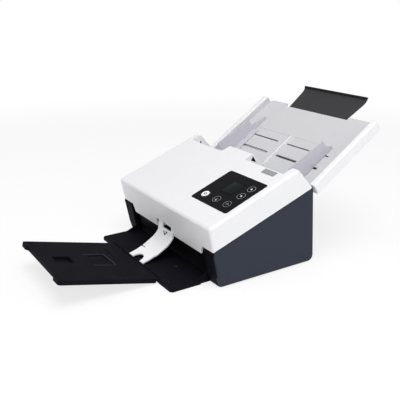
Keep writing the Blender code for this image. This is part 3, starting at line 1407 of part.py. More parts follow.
def build_side_guide(side, slope):
    name = "right_side_guide" if side > 0 else "left_side_guide"
    face = side * GUIDE_FACE
    brace_end = RIGHT_BRACE_END if side > 0 else LEFT_BRACE_END
    fin = prism_x(guide_profile(brace_end), face, face + side * GUIDE_THICKNESS)
    guide = solid(name, fin, "lavender_guide", slope)
    foot = (side * (GUIDE_FACE - GUIDE_FOOT_WIDTH), face + side * GUIDE_THICKNESS / 2)
    low = GUIDE_LIFT
    add(guide, slab(foot, (GUIDE_FOOT_START, GUIDE_END), (low, low + GUIDE_FOOT_THICKNESS)))
    stem = (side * (GUIDE_FACE - STEM_WIDTH), side * GUIDE_FACE)
    own, other = (LOW_SLOT_PLACE, HIGH_SLOT_PLACE) if side < 0 else (HIGH_SLOT_PLACE, LOW_SLOT_PLACE)
    widths = {LOW_SLOT_PLACE: LOW_SLOT_WIDTH, HIGH_SLOT_PLACE: HIGH_SLOT_WIDTH}
    for place, foot_n in ((own, -RACK_BOTTOM), (other, -INPUT_SKIN)):
        half = widths[place] / 2 - STEM_FIT
        add(guide, slab(stem, (place - half, place + half), (foot_n, low + GUIDE_FOOT_THICKNESS / 2)))
    add(guide, rack_shape(side, own))
    return guide


def rack_shape(side, stem_place):
    """A toothed bar from the guide's stem past the pinion, its teeth towards the pinion."""
    pitch = math.pi * TOOTH_MODULE
    pitch_line = PINION_PLACE + side * PINION_TEETH * TOOTH_MODULE / 2
    towards = -side
    root = pitch_line - towards * TOOTH_MODULE * TOOTH_ROOT_SHARE
    tip = pitch_line + towards * TOOTH_MODULE * TOOTH_TOP_SHARE
    back = stem_place + side * STEM_FIT
    outer = side * (GUIDE_FACE - FIT)
    inner = -side * RACK_PAST_CENTRE
    outline = [(outer, back), (inner, back), (inner, root)]
    first = math.ceil(min(inner, outer) / pitch) + 1
    last = math.floor(max(inner, outer) / pitch) - 1
    centres = [k * pitch for k in range(first, last + 1)]
    if side < 0:
        centres.reverse()
    half_root = pitch / 4 * TOOTH_THINNING_SHARE / TOOTH_TIP_SHARE
    half_tip = pitch / 4 * TOOTH_THINNING_SHARE * TOOTH_TIP_SHARE
    for x in centres:
        outline += [
            (x - side * half_root, root), (x - side * half_tip, tip),
            (x + side * half_tip, tip), (x + side * half_root, root),
        ]
    outline.append((outer, root))
    return prism_z(outline, -RACK_BOTTOM, -RACK_TOP)


def build_pinion(slope):
    axis = carrier("pinion_axis", slope, (0, PINION_PLACE, 0), local=True)
    radius = PINION_TEETH * TOOTH_MODULE / 2
    root = radius - TOOTH_MODULE * TOOTH_ROOT_SHARE
    tip = radius + TOOTH_MODULE * TOOTH_TOP_SHARE
    quarter = math.tau / PINION_TEETH / 4
    outline = []
    for k in range(PINION_TEETH):
        middle = math.pi / 2 + quarter * 2 + k * quarter * 4
        for reach, share in (
            (root, -TOOTH_THINNING_SHARE / TOOTH_TIP_SHARE),
            (tip, -TOOTH_THINNING_SHARE * TOOTH_TIP_SHARE),
            (tip, TOOTH_THINNING_SHARE * TOOTH_TIP_SHARE),
            (root, TOOTH_THINNING_SHARE / TOOTH_TIP_SHARE),
        ):
            angle = middle + quarter * share
            outline.append((reach * math.cos(angle), reach * math.sin(angle)))
    pinion = solid("guide_pinion", prism_z(outline, -RACK_BOTTOM, -RACK_TOP), "nylon", axis)
    add(pinion, post((0, 0), -BACK_COVER_DEPTH + PLATE, -INPUT_SKIN / 2 - FIT, PINION_AXLE_RADIUS, 12))


def stand_on_origin(machine):
    """Moves the machine so that its middle stands over the origin."""
    bpy.context.view_layer.update()
    places = []
    for piece in bpy.context.scene.objects:
        if piece.type == "MESH" and not piece.hide_render:
            places += [(piece.matrix_world @ Vector(c)).y for c in piece.bound_box]
    machine.location.y = -(min(places) + max(places)) / 2


def main():
    for old in list(bpy.data.objects):
        bpy.data.objects.remove(old)
    machine = carrier("machine", None, (0, 0, 0))
    for side in (-1, 1):
        build_side_cover(side, machine)
        build_side_frame(side, machine)
    build_base_pan(machine)
    build_rear_cover(machine)
    build_exit_guide(machine)
    build_boards_and_ports(machine)
    build_feet(machine)
    build_hinge_shaft(machine)
    path = carrier("paper_path", machine, (0, *PATH_START), PATH_TILT, local=True)
    build_lower_path(path)
    build_rollers(path)
    build_motor(machine)
    build_belt(machine)
    hinge = carrier("cover_hinge", machine, (0, *HINGE))
    shell = build_cover_shell(hinge)
    face = carrier("top_face", hinge, (0, *COVER_FRONT_TOP), TOP_TILT, local=True)
    add_panel_seat(shell, face)
    build_control_panel(face)
    build_upper_path(carrier("cover_path", hinge, (0, *PATH_START), PATH_TILT, local=True))
    build_tongue(machine)
    build_output_extension(build_output_tray(machine))
    slope = carrier("input_slope", machine, (0, *LIP_POINT), TRAY_SLOPE, local=True)
    build_input_tray(slope)
    build_tray_back_cover(slope)
    build_input_extension(slope)
    for side in (-1, 1):
        build_side_guide(side, slope)
    build_pinion(slope)
    stand_on_origin(machine)


main()
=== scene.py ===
# %% [markdown]
# # A sheet-fed document scanner
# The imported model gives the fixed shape: every solid sits at its real place, in metres, with
# Z up. This lesson dresses it: it softens the moulded edges, adds the small parts that a
# plain solid leaves out, and gives each piece the finish of its real material.

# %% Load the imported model
import json
import math

import bpy
from mathutils import Matrix, Vector

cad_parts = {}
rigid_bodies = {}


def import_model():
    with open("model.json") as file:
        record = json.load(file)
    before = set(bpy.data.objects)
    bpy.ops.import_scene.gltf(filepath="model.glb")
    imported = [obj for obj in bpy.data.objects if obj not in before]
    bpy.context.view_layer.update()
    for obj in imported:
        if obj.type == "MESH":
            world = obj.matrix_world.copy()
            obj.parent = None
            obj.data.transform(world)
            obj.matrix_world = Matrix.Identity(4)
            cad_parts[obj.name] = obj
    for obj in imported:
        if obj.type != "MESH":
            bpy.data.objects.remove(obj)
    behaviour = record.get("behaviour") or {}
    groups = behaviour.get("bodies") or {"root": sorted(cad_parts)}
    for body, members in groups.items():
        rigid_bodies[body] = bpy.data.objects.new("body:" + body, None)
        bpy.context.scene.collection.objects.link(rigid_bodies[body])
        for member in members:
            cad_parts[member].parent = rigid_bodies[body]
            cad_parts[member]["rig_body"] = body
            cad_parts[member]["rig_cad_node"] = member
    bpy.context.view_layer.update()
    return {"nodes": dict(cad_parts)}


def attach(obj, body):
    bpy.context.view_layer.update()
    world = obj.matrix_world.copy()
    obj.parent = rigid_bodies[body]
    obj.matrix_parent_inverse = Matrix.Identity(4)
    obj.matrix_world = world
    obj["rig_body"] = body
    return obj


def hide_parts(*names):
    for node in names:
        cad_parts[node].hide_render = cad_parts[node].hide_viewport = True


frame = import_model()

MM = 0.001
nodes = frame["nodes"]
for start_object in [o for o in bpy.data.objects if o.name in ("Cube", "Light", "Camera")]:
    bpy.data.objects.remove(start_object)

# %% [markdown]
# ## Camera
# The picture was taken from the front right, a little above the desk. A camera fitted to the
# straight edges of the body gives its direction, place and lens. Its three axes are built from
# the direction that it looks in, so it stays level.

# %% Camera
AZIMUTH = math.radians(57.342)
ELEVATION = math.radians(19.168)
CAMERA_PLACE = Vector((0.870672, -0.569896, 0.451731))
LENS = 54.369

backward = Vector((
    math.sin(AZIMUTH) * math.cos(ELEVATION),
    -math.cos(AZIMUTH) * math.cos(ELEVATION),
    math.sin(ELEVATION),
))
rightward = (-backward).cross(Vector((0, 0, 1))).normalized()
upward = rightward.cross(-backward)

bpy.ops.object.camera_add()
camera = bpy.context.active_object
camera.name = "picture_camera"
camera.data.sensor_width = 36
camera.data.lens = LENS
camera.data.clip_start = 10 * MM
camera.matrix_world = (
    Matrix.Translation(CAMERA_PLACE) @ Matrix((rightward, upward, backward)).transposed().to_4x4()
)
bpy.context.scene.camera = camera
print("camera looks along", [round(v, 3) for v in -backward])

# %% [markdown]
# ## Colour and node helpers
# A colour is written as the hex value that a screen shows, and a shader takes linear light, so
# one function turns the first into the second. One more function adds a node with its settings
# and its links, which keeps each recipe below short.

# %% Colour and node helpers
def linear(code):
    channels = [int(code[i : i + 2], 16) / 255 for i in (0, 2, 4)]
    return [c / 12.92 if c <= 0.04045 else ((c + 0.055) / 1.055) ** 2.4 for c in channels] + [1]


def add_node(tree, kind, inputs=None, **settings):
    """Adds a node. An input is given by name or number, as a value or as the socket that feeds it."""
    made = tree.nodes.new(kind)
    for name, value in settings.items():
        setattr(made, name, value)
    for name, value in (inputs or {}).items():
        if isinstance(value, bpy.types.NodeSocket):
            tree.links.new(value, made.inputs[name])
        else:
            made.inputs[name].default_value = value
    return made


def start_material(name, colour, roughness, metallic=0.0):
    """A material with one shader, its tree, and the piece's own coordinates in metres."""
    material = bpy.data.materials.new(name)
    material.use_nodes = True
    material.diffuse_color = linear(colour)
    tree = material.node_tree
    shader = tree.nodes["Principled BSDF"]
    shader.inputs["Base Color"].default_value = linear(colour)
    shader.inputs["Roughness"].default_value = roughness
    shader.inputs["Metallic"].default_value = metallic
    place = add_node(tree, "ShaderNodeTexCoord").outputs["Object"]
    return material, tree, shader, place


print("pure grey 808080 is", round(linear("808080")[0], 3), "in linear light")

# %% [markdown]
# ## Floor, backdrop and light
# The object is shown on plain white. A wide white floor and a white world do that, and only
# what the camera, a mirror or glass sees of them is lifted to full white, so the light on the
# object stays at a plain level. One big lamp hangs high over the object and a little to its
# right, so the top faces are brightest and the front face, which leans forward, falls into soft
# shade as in the picture. Two weak lamps fill the front and the right side.

# %% Floor, world and lamps
FLOOR_SIZE = 8.0
FLOOR_LIFT_SHARE = 0.75
FADE_START = 0.9
FADE_END = 1.8

bpy.ops.mesh.primitive_plane_add(size=FLOOR_SIZE)
floor = bpy.context.active_object
floor.name = "studio_floor"

paint, tree, shader, place = start_material("studio_white_paint", "FFFFFF", 0.9)
output = tree.nodes["Material Output"]
light_path = add_node(tree, "ShaderNodeLightPath")
seen = add_node(tree, "ShaderNodeMath", {0: light_path.outputs["Is Camera Ray"],
                1: light_path.outputs["Is Glossy Ray"]}, operation="MAXIMUM")
seen = add_node(tree, "ShaderNodeMath", {0: seen.outputs[0],
                1: light_path.outputs["Is Transmission Ray"]}, operation="MAXIMUM")
distance = add_node(tree, "ShaderNodeVectorMath", {0: place}, operation="LENGTH")
far_share = add_node(tree, "ShaderNodeMapRange", {
    "Value": distance.outputs["Value"], "From Min": FADE_START, "From Max": FADE_END,
    "To Min": FLOOR_LIFT_SHARE, "To Max": 1.0}, interpolation_type="SMOOTHSTEP")
lift = add_node(tree, "ShaderNodeMath", {0: far_share.outputs["Result"], 1: seen.outputs[0]},
                operation="MULTIPLY")
white = add_node(tree, "ShaderNodeEmission", {"Color": linear("FFFFFF"), "Strength": 1.0})
add_node(tree, "ShaderNodeMixShader", {0: lift.outputs[0], 1: shader.outputs["BSDF"],
         2: white.outputs["Emission"]}, name="floor_mix")
tree.links.new(tree.nodes["floor_mix"].outputs[0], output.inputs["Surface"])
floor.data.materials.append(paint)

WORLD_STRENGTH = 0.4
world = bpy.data.worlds.new("studio_world")
bpy.context.scene.world = world
world.use_nodes = True
tree = world.node_tree
light_path = add_node(tree, "ShaderNodeLightPath")
seen = add_node(tree, "ShaderNodeMath", {0: light_path.outputs["Is Camera Ray"],
                1: light_path.outputs["Is Transmission Ray"]}, operation="MAXIMUM")
strength = add_node(tree, "ShaderNodeMapRange", {"Value": seen.outputs[0],
                    "To Min": WORLD_STRENGTH, "To Max": 1.0})
tree.nodes["Background"].inputs["Color"].default_value = linear("FFFFFF")
tree.links.new(strength.outputs["Result"], tree.nodes["Background"].inputs["Strength"])


def softbox(name, place, target, size, watts):
    """A square lamp that faces a point."""
    bpy.ops.object.light_add(type="AREA", location=place)
    lamp = bpy.context.active_object
    lamp.name = name
    lamp.data.size = size
    lamp.data.energy = watts
    lamp.rotation_euler = (Vector(target) - Vector(place)).to_track_quat("-Z", "Y").to_euler()
    return lamp


softbox("overhead_softbox", (0.6, -0.25, 2.2), (0, -0.02, 0.1), 1.6, 33)
softbox("front_softbox", (-0.8, -1.7, 0.6), (0, -0.1, 0.06), 1.4, 5)
softbox("right_softbox", (1.9, 0.3, 0.8), (0.1, 0.05, 0.12), 1.3, 8)
bpy.context.scene.view_settings.view_transform = "Standard"

# %% [markdown]
# ## Moulded plastic
# The housing of such a machine is injection-moulded ABS. The mould is spark-eroded, which
# leaves a fine even grain that scatters the highlights. The real grain is about 0.2 mm, too
# fine to show here, so it is drawn about 1 mm coarse. A wide, faint mottle in the roughness
# keeps large faces from looking computed.

# %% Moulded plastic
GRAIN = 1.1 * MM
MOTTLE = 35 * MM
MOTTLE_SPREAD = 0.05
ABS_IOR = 1.53


def moulded(name, colour, roughness, depth=0.04 * MM, tint="", gloss=0.5):
    """ABS or a like plastic from a textured mould, whose texture traps light and lowers the gloss."""
    material, tree, shader, place = start_material(name, colour, roughness)
    shader.inputs["IOR"].default_value = ABS_IOR
    shader.inputs["Specular IOR Level"].default_value = gloss
    fine = add_node(tree, "ShaderNodeTexNoise", {"Vector": place, "Scale": 1 / GRAIN,
                    "Detail": 2.0, "Roughness": 0.6})
    wide = add_node(tree, "ShaderNodeTexNoise", {"Vector": place, "Scale": 1 / MOTTLE,
                    "Detail": 3.0})
    sheen = add_node(tree, "ShaderNodeMapRange", {"Value": wide.outputs["Fac"],
                     "From Min": 0.3, "From Max": 0.7,
                     "To Min": roughness - MOTTLE_SPREAD, "To Max": roughness + MOTTLE_SPREAD})
    tree.links.new(sheen.outputs["Result"], shader.inputs["Roughness"])
    if tint:
        # Sockets 6 and 7 take the two colours, and output 2 gives their mixture
        mix = add_node(tree, "ShaderNodeMix", {"Factor": wide.outputs["Fac"],
                       6: linear(colour), 7: linear(tint)}, data_type="RGBA")
        tree.links.new(mix.outputs[2], shader.inputs["Base Color"])
    bump = add_node(tree, "ShaderNodeBump", {"Height": fine.outputs["Fac"], "Distance": depth,
                    "Strength": 0.6})
    tree.links.new(bump.outputs["Normal"], shader.inputs["Normal"])
    return material


# A fine grain on white spreads the light into a soft, even sheen
white_abs = moulded("white_moulded_abs", "F0F0F2", 0.42, tint="EDEDF0")
# A polished mould leaves the press tongue brighter, with sharper highlights
gloss_white_abs = moulded("gloss_white_abs", "FAFAFC", 0.2, depth=0.01 * MM)
# The side covers look matt and deep, with one broad dull highlight
navy_abs = moulded("blue_grey_moulded_abs", "2F3441", 0.46, tint="323744", gloss=0.12)
# The trays have the coarsest grain: paper slides on it, and it swallows reflections
tray_abs = moulded("charcoal_moulded_abs", "131319", 0.6, depth=0.06 * MM, tint="16161D", gloss=0.03)
# The sheet is a dull dark grey; its rolled tip is painted nearly black, a painted shade for the
# shaded underside of its curl
sheet_abs = moulded("dark_grey_moulded_abs", "38383A", 0.55, tint="3B3B3D", gloss=0.16)
tip_shade_paint = moulded("near_black_moulded_abs", "232325", 0.55, gloss=0.12)
# The input tray and its guides are light greys, the guides a touch cooler
pale_abs = moulded("pale_grey_moulded_abs", "D2D2D5", 0.45, tint="CECED2")
guide_abs = moulded("cool_grey_moulded_abs", "CDCCD4", 0.42, tint="CAC9D2")
# The release button and the blank plate are a plain mid grey
button_abs = moulded("mid_grey_moulded_abs", "98999C", 0.45)
# What stands in shade inside the machine is black and almost without gloss; the same black is also
# painted shade on the walls of the bays and on the floor of a well
black_abs = moulded("black_moulded_abs", "0C0C0F", 0.55, tint="0F0F12", gloss=0.05)
print("plastics:", len([m for m in bpy.data.materials if "abs" in m.name]))

# %% [markdown]
# ## Gloss panel, window and lit button
# The control panel is one plate of black acrylic with a polished face, printed from behind:
# smooth, with a clear reflection and almost no grain. The display window is the same acrylic
# over a switched-off liquid crystal, which looks grey-green. The power button is milky
# polycarbonate with a lamp under it.

# %% Gloss panel, window and lit button
POLISH_WAVE = 12 * MM
COAT_ROUGHNESS = 0.06


def polished(name, colour, roughness, ior=1.49, coat=0.0, gloss=0.12):
    """A smooth plastic whose faint waviness comes from the polished mould."""
    material, tree, shader, place = start_material(name, colour, roughness)
    shader.inputs["IOR"].default_value = ior
    shader.inputs["Specular IOR Level"].default_value = gloss
    shader.inputs["Coat Weight"].default_value = coat
    shader.inputs["Coat Roughness"].default_value = COAT_ROUGHNESS
    wave = add_node(tree, "ShaderNodeTexNoise", {"Vector": place, "Scale": 1 / POLISH_WAVE,
                    "Detail": 1.0})
    bump = add_node(tree, "ShaderNodeBump", {"Height": wave.outputs["Fac"],
                    "Distance": 0.02 * MM, "Strength": 0.4})
    tree.links.new(bump.outputs["Normal"], shader.inputs["Normal"])
    return material


# The panel and the caps are deep black with a clear, weak reflection
panel_acrylic = polished("black_polished_acrylic", "111116", 0.2, gloss=0.08)
cap_acrylic = polished("black_cap_acrylic", "101014", 0.22, gloss=0.08)
# The window is smoky, and the switched-off crystal behind it is a shade greener
window_acrylic = polished("smoked_acrylic", "131618", 0.2, gloss=0.04)
crystal = polished("resting_liquid_crystal", "1B2223", 0.25, gloss=0.04)
# Ink dries matt, so the signs stay readable where the caps reflect
dark_ink = polished("dark_grey_printing_ink", "3E4145", 0.5)
bright_ink = polished("bright_printing_ink", "F2F4F6", 0.5)
grey_ink = polished("grey_printing_ink", "A2A6AA", 0.5)

# The lit cap glows a little, from a lamp under milky plastic
lit_cap = polished("lit_milky_polycarbonate", "F4F6F8", 0.25, ior=1.58)
lit_shader = lit_cap.node_tree.nodes["Principled BSDF"]
lit_shader.inputs["Emission Color"].default_value = linear("F4F8FF")
lit_shader.inputs["Emission Strength"].default_value = 0.22
print("gloss finishes:", len([m for m in bpy.data.materials if m.name.endswith(("acrylic", "ink"))]))

# %% [markdown]
# ## Rubber, metal, glass, board and nylon
# Inside are the parts that do the work. Roller tyres are polyurethane rubber, ground on a
# lathe, so fine rings run round them. Shafts are centreless-ground steel, the side frames are
# rolled zinc-plated sheet, the sensors look through float glass, and the boards are glass
# fibre under green solder mask. Pulleys and the pinion are moulded nylon.

# %% Rubber, metal, glass, board and nylon
TALC_SPECK = 0.8 * MM
RUBBER_DEPTH = 0.08 * MM
MARK_DEPTH = 0.01 * MM


def rubber(name, colour, roughness, ring_pitch=0.0):
    """Rubber dusted with talc, or ground so that fine rings run round it."""
    material, tree, shader, place = start_material(name, colour, roughness)
    dust = add_node(tree, "ShaderNodeTexNoise", {"Vector": place, "Scale": 1 / TALC_SPECK,
                    "Detail": 4.0})
    height = dust.outputs["Fac"]
    if ring_pitch:
        # One wave repeats every pitch along X, across the width of the machine
        rings = add_node(tree, "ShaderNodeTexWave", {"Vector": place,
                         "Scale": math.tau / 20 / ring_pitch}, bands_direction="X")
        height = rings.outputs["Fac"]
    bump = add_node(tree, "ShaderNodeBump", {"Height": height, "Distance": RUBBER_DEPTH,
                    "Strength": 0.7})
    tree.links.new(bump.outputs["Normal"], shader.inputs["Normal"])
    return material


def metal(name, colour, roughness, grain=(1, 1, 1), pitch=0.6 * MM):
    """Grain is how fine the marks are along each axis: a low number draws them out."""
    material, tree, shader, place = start_material(name, colour, roughness, 1.0)
    turned = add_node(tree, "ShaderNodeMapping", {"Vector": place, "Scale": grain})
    marks = add_node(tree, "ShaderNodeTexNoise", {"Vector": turned.outputs["Vector"],
                     "Scale": 1 / pitch, "Detail": 3.0})
    sheen = add_node(tree, "ShaderNodeMapRange", {"Value": marks.outputs["Fac"],
                     "From Min": 0.3, "From Max": 0.7,
                     "To Min": roughness * 0.75, "To Max": roughness * 1.25})
    tree.links.new(sheen.outputs["Result"], shader.inputs["Roughness"])
    bump = add_node(tree, "ShaderNodeBump", {"Height": marks.outputs["Fac"],
                    "Distance": MARK_DEPTH, "Strength": 0.5})
    tree.links.new(bump.outputs["Normal"], shader.inputs["Normal"])
    return material


# Rubber is dull and soft-looking, and the ground tyres show rings 1.2 mm apart
foot_rubber = rubber("black_moulded_rubber", "1A1A1C", 0.85)
tyre_rubber = rubber("grey_ground_polyurethane", "5A5C60", 0.75, ring_pitch=1.2 * MM)
belt_rubber = rubber("black_toothed_rubber", "161618", 0.8)
# Ground, rolled, drawn and tinned metal differ in how their marks run and how bright they are
ground_steel = metal("ground_bright_steel", "C8CACC", 0.2, grain=(1, 0.2, 0.2))
zinc_sheet = metal("zinc_plated_sheet", "A8ABAE", 0.34, grain=(1, 0.1, 1), pitch=1.5 * MM)
motor_can = metal("drawn_motor_can", "8C9094", 0.35, grain=(0.1, 1, 1))
tin_shell = metal("tinned_socket_shell", "C4C6C8", 0.28)
screw_steel = metal("blackened_screw_steel", "3A3C40", 0.4)
# Nylon is milky and waxy, glass clear and cold, solder mask green and satin, resin dull black
white_nylon = moulded("natural_nylon", "E2DFD4", 0.5, depth=0.02 * MM)
scan_glass = polished("float_glass", "AEBEC2", 0.04, ior=1.52, coat=0.5)
white_strip = polished("white_reference_strip", "F4F4F2", 0.5)
solder_mask = polished("green_solder_mask", "1F5A3A", 0.35, ior=1.5)
chip_resin = moulded("black_chip_resin", "1C1C1E", 0.55)
print("materials so far:", len(bpy.data.materials))

# %% [markdown]
# ## Softened mouldings
# A moulded edge is never sharp: the tool leaves a radius of a few tenths of a millimetre, and
# that thin highlight tells the eye how thick and how soft a part is. Each visible solid is
# copied, its triangles are merged into flat faces, and a bevel rounds every edge that turns
# sharply. The copy then stands for its solid.

# %% The softening helper
SMOOTH_ANGLE = math.radians(40)
SHARP_ANGLE = math.radians(28)
FLAT_ANGLE = math.radians(0.6)
MERGE_DISTANCE = 0.003 * MM


def pick(*objects):
    """Selects these objects alone and makes the first one active."""
    bpy.ops.object.select_all(action="DESELECT")
    for chosen in objects:
        chosen.select_set(True)
    bpy.context.view_layer.objects.active = objects[0]


def smooth(piece):
    """Shades round edges smoothly and keeps flat faces flat."""
    pick(piece)
    bpy.ops.object.shade_smooth_by_angle(angle=SMOOTH_ANGLE)
    flatten = piece.modifiers.new("flat_faces", "WEIGHTED_NORMAL")
    flatten.keep_sharp = True
    bpy.ops.object.modifier_apply(modifier=flatten.name)


def bevel(piece, width):
    """Rounds each edge that turns sharply."""
    pick(piece)
    step = piece.modifiers.new("edge_radius", "BEVEL")
    step.width = width
    step.segments = 2
    step.limit_method = "ANGLE"
    step.angle_limit = SHARP_ANGLE
    bpy.ops.object.modifier_apply(modifier=step.name)
    smooth(piece)


def dress(piece, material, body):
    """Gives a finished piece its finish and the body that carries it."""
    piece.data.materials.clear()
    piece.data.materials.append(material)
    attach(piece, body)
    return piece


def soften(node, material, width):
    """Copies a solid, merges its triangles into flat faces and rounds its edges."""
    pick(nodes[node])
    bpy.ops.object.duplicate()
    piece = bpy.context.active_object
    piece.name = node + "_moulding"
    piece.parent = None
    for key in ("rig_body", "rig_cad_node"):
        if key in piece:
            del piece[key]
    bpy.ops.object.mode_set(mode="EDIT")
    bpy.ops.mesh.select_all(action="SELECT")
    bpy.ops.mesh.remove_doubles(threshold=MERGE_DISTANCE)
    bpy.ops.mesh.dissolve_limited(angle_limit=FLAT_ANGLE)
    bpy.ops.object.mode_set(mode="OBJECT")
    bevel(piece, width)
    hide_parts(node)
    return dress(piece, material, nodes[node]["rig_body"])


print("edges that turn by more than", round(math.degrees(SHARP_ANGLE)), "degrees get rounded")

# %% [markdown]
# ## The housing, piece by piece
# One table names each outer piece, its finish, its slot in the record and its edge radius in
# millimetres. Large shells have softer edges than small caps, because a bigger mould is cut
# with a bigger tool.

# %% Soften the housing
housing = {
    "top_cover_shell": (white_abs, "white_shell", 0.5),
    "left_side_cover": (navy_abs, "navy_shell", 0.5),
    "right_side_cover": (navy_abs, "navy_shell", 0.5),
    "rear_cover": (navy_abs, "navy_shell", 0.4),
    "output_tray": (tray_abs, "charcoal_tray", 0.5),
    "output_extension": (tray_abs, "charcoal_tray", 0.5),
    "paper_stop": (tray_abs, "charcoal_tray", 0.3),
    "press_tongue": (gloss_white_abs, "white_shell", 0.3),
    "input_tray": (pale_abs, "light_tray", 0.5),
    "tray_back_cover": (pale_abs, "light_tray", 0.5),
    "input_extension": (sheet_abs, "grey_sheet", 0.4),
    "left_side_guide": (guide_abs, "lavender_guide", 0.4),
    "right_side_guide": (guide_abs, "lavender_guide", 0.4),
    "release_button": (button_abs, "grey_button", 0.4),
    "control_panel": (panel_acrylic, "black_panel", 0.25),
    "display_window": (window_acrylic, "dark_window", 0.15),
    "power_button": (lit_cap, "pale_button", 0.35),
    "stop_button": (cap_acrylic, "black_panel", 0.25),
    "scan_button": (cap_acrylic, "black_panel", 0.25),
    "down_button": (cap_acrylic, "black_panel", 0.25),
    "up_button": (cap_acrylic, "black_panel", 0.25),
    "exit_guide": (black_abs, "black_moulding", 0.3),
    "front_left_foot": (foot_rubber, "black_rubber", 0.6),
    "front_right_foot": (foot_rubber, "black_rubber", 0.6),
    "rear_left_foot": (foot_rubber, "black_rubber", 0.6),
    "rear_right_foot": (foot_rubber, "black_rubber", 0.6),
}
mouldings = {name: soften(name, finish, width * MM)
             for name, (finish, slot, width) in housing.items()}
print("softened:", {name: len(piece.data.polygons) for name, piece in mouldings.items()})

# %% [markdown]
# ## Finishes of the inner solids
# The parts inside keep their solids. They are seen through the openings and when the cover is
# raised, so each one gets its own finish.

# %% Finishes of the inner solids
inner = {
    black_abs: ("base_pan", "lower_paper_guide", "upper_paper_guide", "lower_scan_module",
                "upper_scan_module", "dc_jack"),
    zinc_sheet: ("left_side_frame", "right_side_frame"),
    ground_steel: ("hinge_shaft", "feed_roller_shaft", "drive_roller_shaft", "exit_roller_shaft"),
    tyre_rubber: ("feed_roller_tyre", "drive_roller_left_tyre", "drive_roller_right_tyre",
                  "exit_roller_left_tyre", "exit_roller_right_tyre", "separation_roller",
                  "pinch_roller"),
    white_nylon: ("feed_roller_pulley", "drive_roller_pulley", "exit_roller_pulley",
                  "motor_pulley", "guide_pinion"),
    belt_rubber: ("drive_belt",),
    motor_can: ("drive_motor",),
    solder_mask: ("main_board", "control_board"),
    scan_glass: ("lower_scan_glass", "upper_scan_glass"),
    tin_shell: ("usb_port",),
}
for finish, names in inner.items():
    for name in names:
        nodes[name].data.materials.clear()
        nodes[name].data.materials.append(finish)
print("inner solids finished:", sum(len(names) for names in inner.values()))

# %% [markdown]
# ## Drawing helpers
# The small parts sit on sloped faces. Each is drawn flat, in millimetres along its face, as one
# would draw it on paper, and is then laid on the face. One table holds the slopes: X runs
# across the machine, Y up the slope and Z off the face.

# %% Drawing helpers
def sloped(y, z, degrees):
    """A plane that rises to the rear by so many degrees, through a point at mid width."""
    return Matrix.Translation((0, y, z)) @ Matrix.Rotation(math.radians(degrees), 4, "X")


UPRIGHT = sloped(0, 0, 0)
TOP_FACE = sloped(-0.0965957, 0.106, 21.005)
INPUT_SLOPE = sloped(0.1135043, 0.124, 34)
OUTPUT_SLOPE = sloped(-0.1479957, 0.0042, -14.07)
PAPER_PATH = sloped(-0.0734957, 0.044, 23.4)
UNDERSIDE = sloped(0, 0.002, 180)
REAR_FACE = sloped(0.1223, 0, 90) @ Matrix.Rotation(math.pi, 4, "Y")
RIGHTWARD = Matrix(((0, 0, 1, 0), (1, 0, 0, 0), (0, 1, 0, 0), (0, 0, 0, 1)))


def shape(name, grow=(1, 1, 1), turn=0, to=(0, 0, 0)):
    """Names the primitive that was just added, and scales, turns and moves its mesh."""
    piece = bpy.context.active_object
    piece.name = name
    bpy.ops.object.mode_set(mode="EDIT")
    bpy.ops.mesh.select_all(action="SELECT")
    bpy.ops.transform.resize(value=grow, center_override=(0, 0, 0))
    bpy.ops.transform.rotate(value=math.radians(turn), orient_axis="Z", center_override=(0, 0, 0))
    bpy.ops.transform.translate(value=[v * MM for v in to])
    bpy.ops.object.mode_set(mode="OBJECT")
    return piece


def block(name, x, y, z):
    """A box between three pairs of limits."""
    bpy.ops.mesh.primitive_cube_add(size=MM)
    return shape(name, [b - a for a, b in (x, y, z)], to=[(a + b) / 2 for a, b in (x, y, z)])


def disc(name, x, y, z, radius, height, sides=48, turn=0):
    """A disc or prism that stands on its centre."""
    bpy.ops.mesh.primitive_cylinder_add(vertices=sides, radius=radius * MM, depth=height * MM)
    return shape(name, turn=turn, to=(x, y, z + height / 2))


def hoop(name, x, y, z, radius, width, sides=64):
    """A nearly flat ring, such as ink leaves."""
    bpy.ops.mesh.primitive_torus_add(major_radius=radius * MM, minor_radius=width / 2 * MM,
                                     major_segments=sides, minor_segments=8)
    return shape(name, (1, 1, 0.12), to=(x, y, z))


def plate(name, corners, low, high):
    """A flat plate: the corners of a filled polygon are moved to their places, then it is raised."""
    bpy.ops.mesh.primitive_circle_add(vertices=len(corners), fill_type="NGON")
    piece = shape(name)
    for point, (x, y) in zip(piece.data.vertices, corners):
        point.co = (x * MM, y * MM, low * MM)
    bpy.ops.object.mode_set(mode="EDIT")
    bpy.ops.mesh.select_all(action="SELECT")
    bpy.ops.mesh.extrude_region_move(
        TRANSFORM_OT_translate={"value": (0, 0, (high - low) * MM)})
    bpy.ops.mesh.select_all(action="SELECT")
    bpy.ops.mesh.normals_make_consistent()
    bpy.ops.object.mode_set(mode="OBJECT")
    return piece


def set_on(piece, face):
    """Moves a drawn piece onto its face and applies the move to its mesh."""
    pick(piece)
    piece.matrix_world = face @ piece.matrix_world
    bpy.ops.object.transform_apply(location=True, rotation=True, scale=True)
    return piece


def merge(pieces):
    """Joins pieces into the first."""
    pick(*pieces)
    if len(pieces) > 1:
        bpy.ops.object.join()
    return pieces[0]


def lay(pieces, face, finish, body, edge=0.15):
    """Joins drawn pieces, rounds their edges, lays them on a face and dresses them."""
    piece = merge(pieces)
    if edge:
        bevel(piece, edge * MM)
    return dress(set_on(piece, face), finish, body)


def carve(piece, cutters, face):
    """Cuts drawn pieces out of a moulding."""
    cutter = set_on(merge(cutters), face)
    pick(piece)
    step = piece.modifiers.new("recess", "BOOLEAN")
    step.operation = "DIFFERENCE"
    step.solver = "EXACT"
    step.use_self = True
    step.object = cutter
    bpy.ops.object.modifier_apply(modifier=step.name)
    bpy.data.objects.remove(cutter)
    smooth(piece)


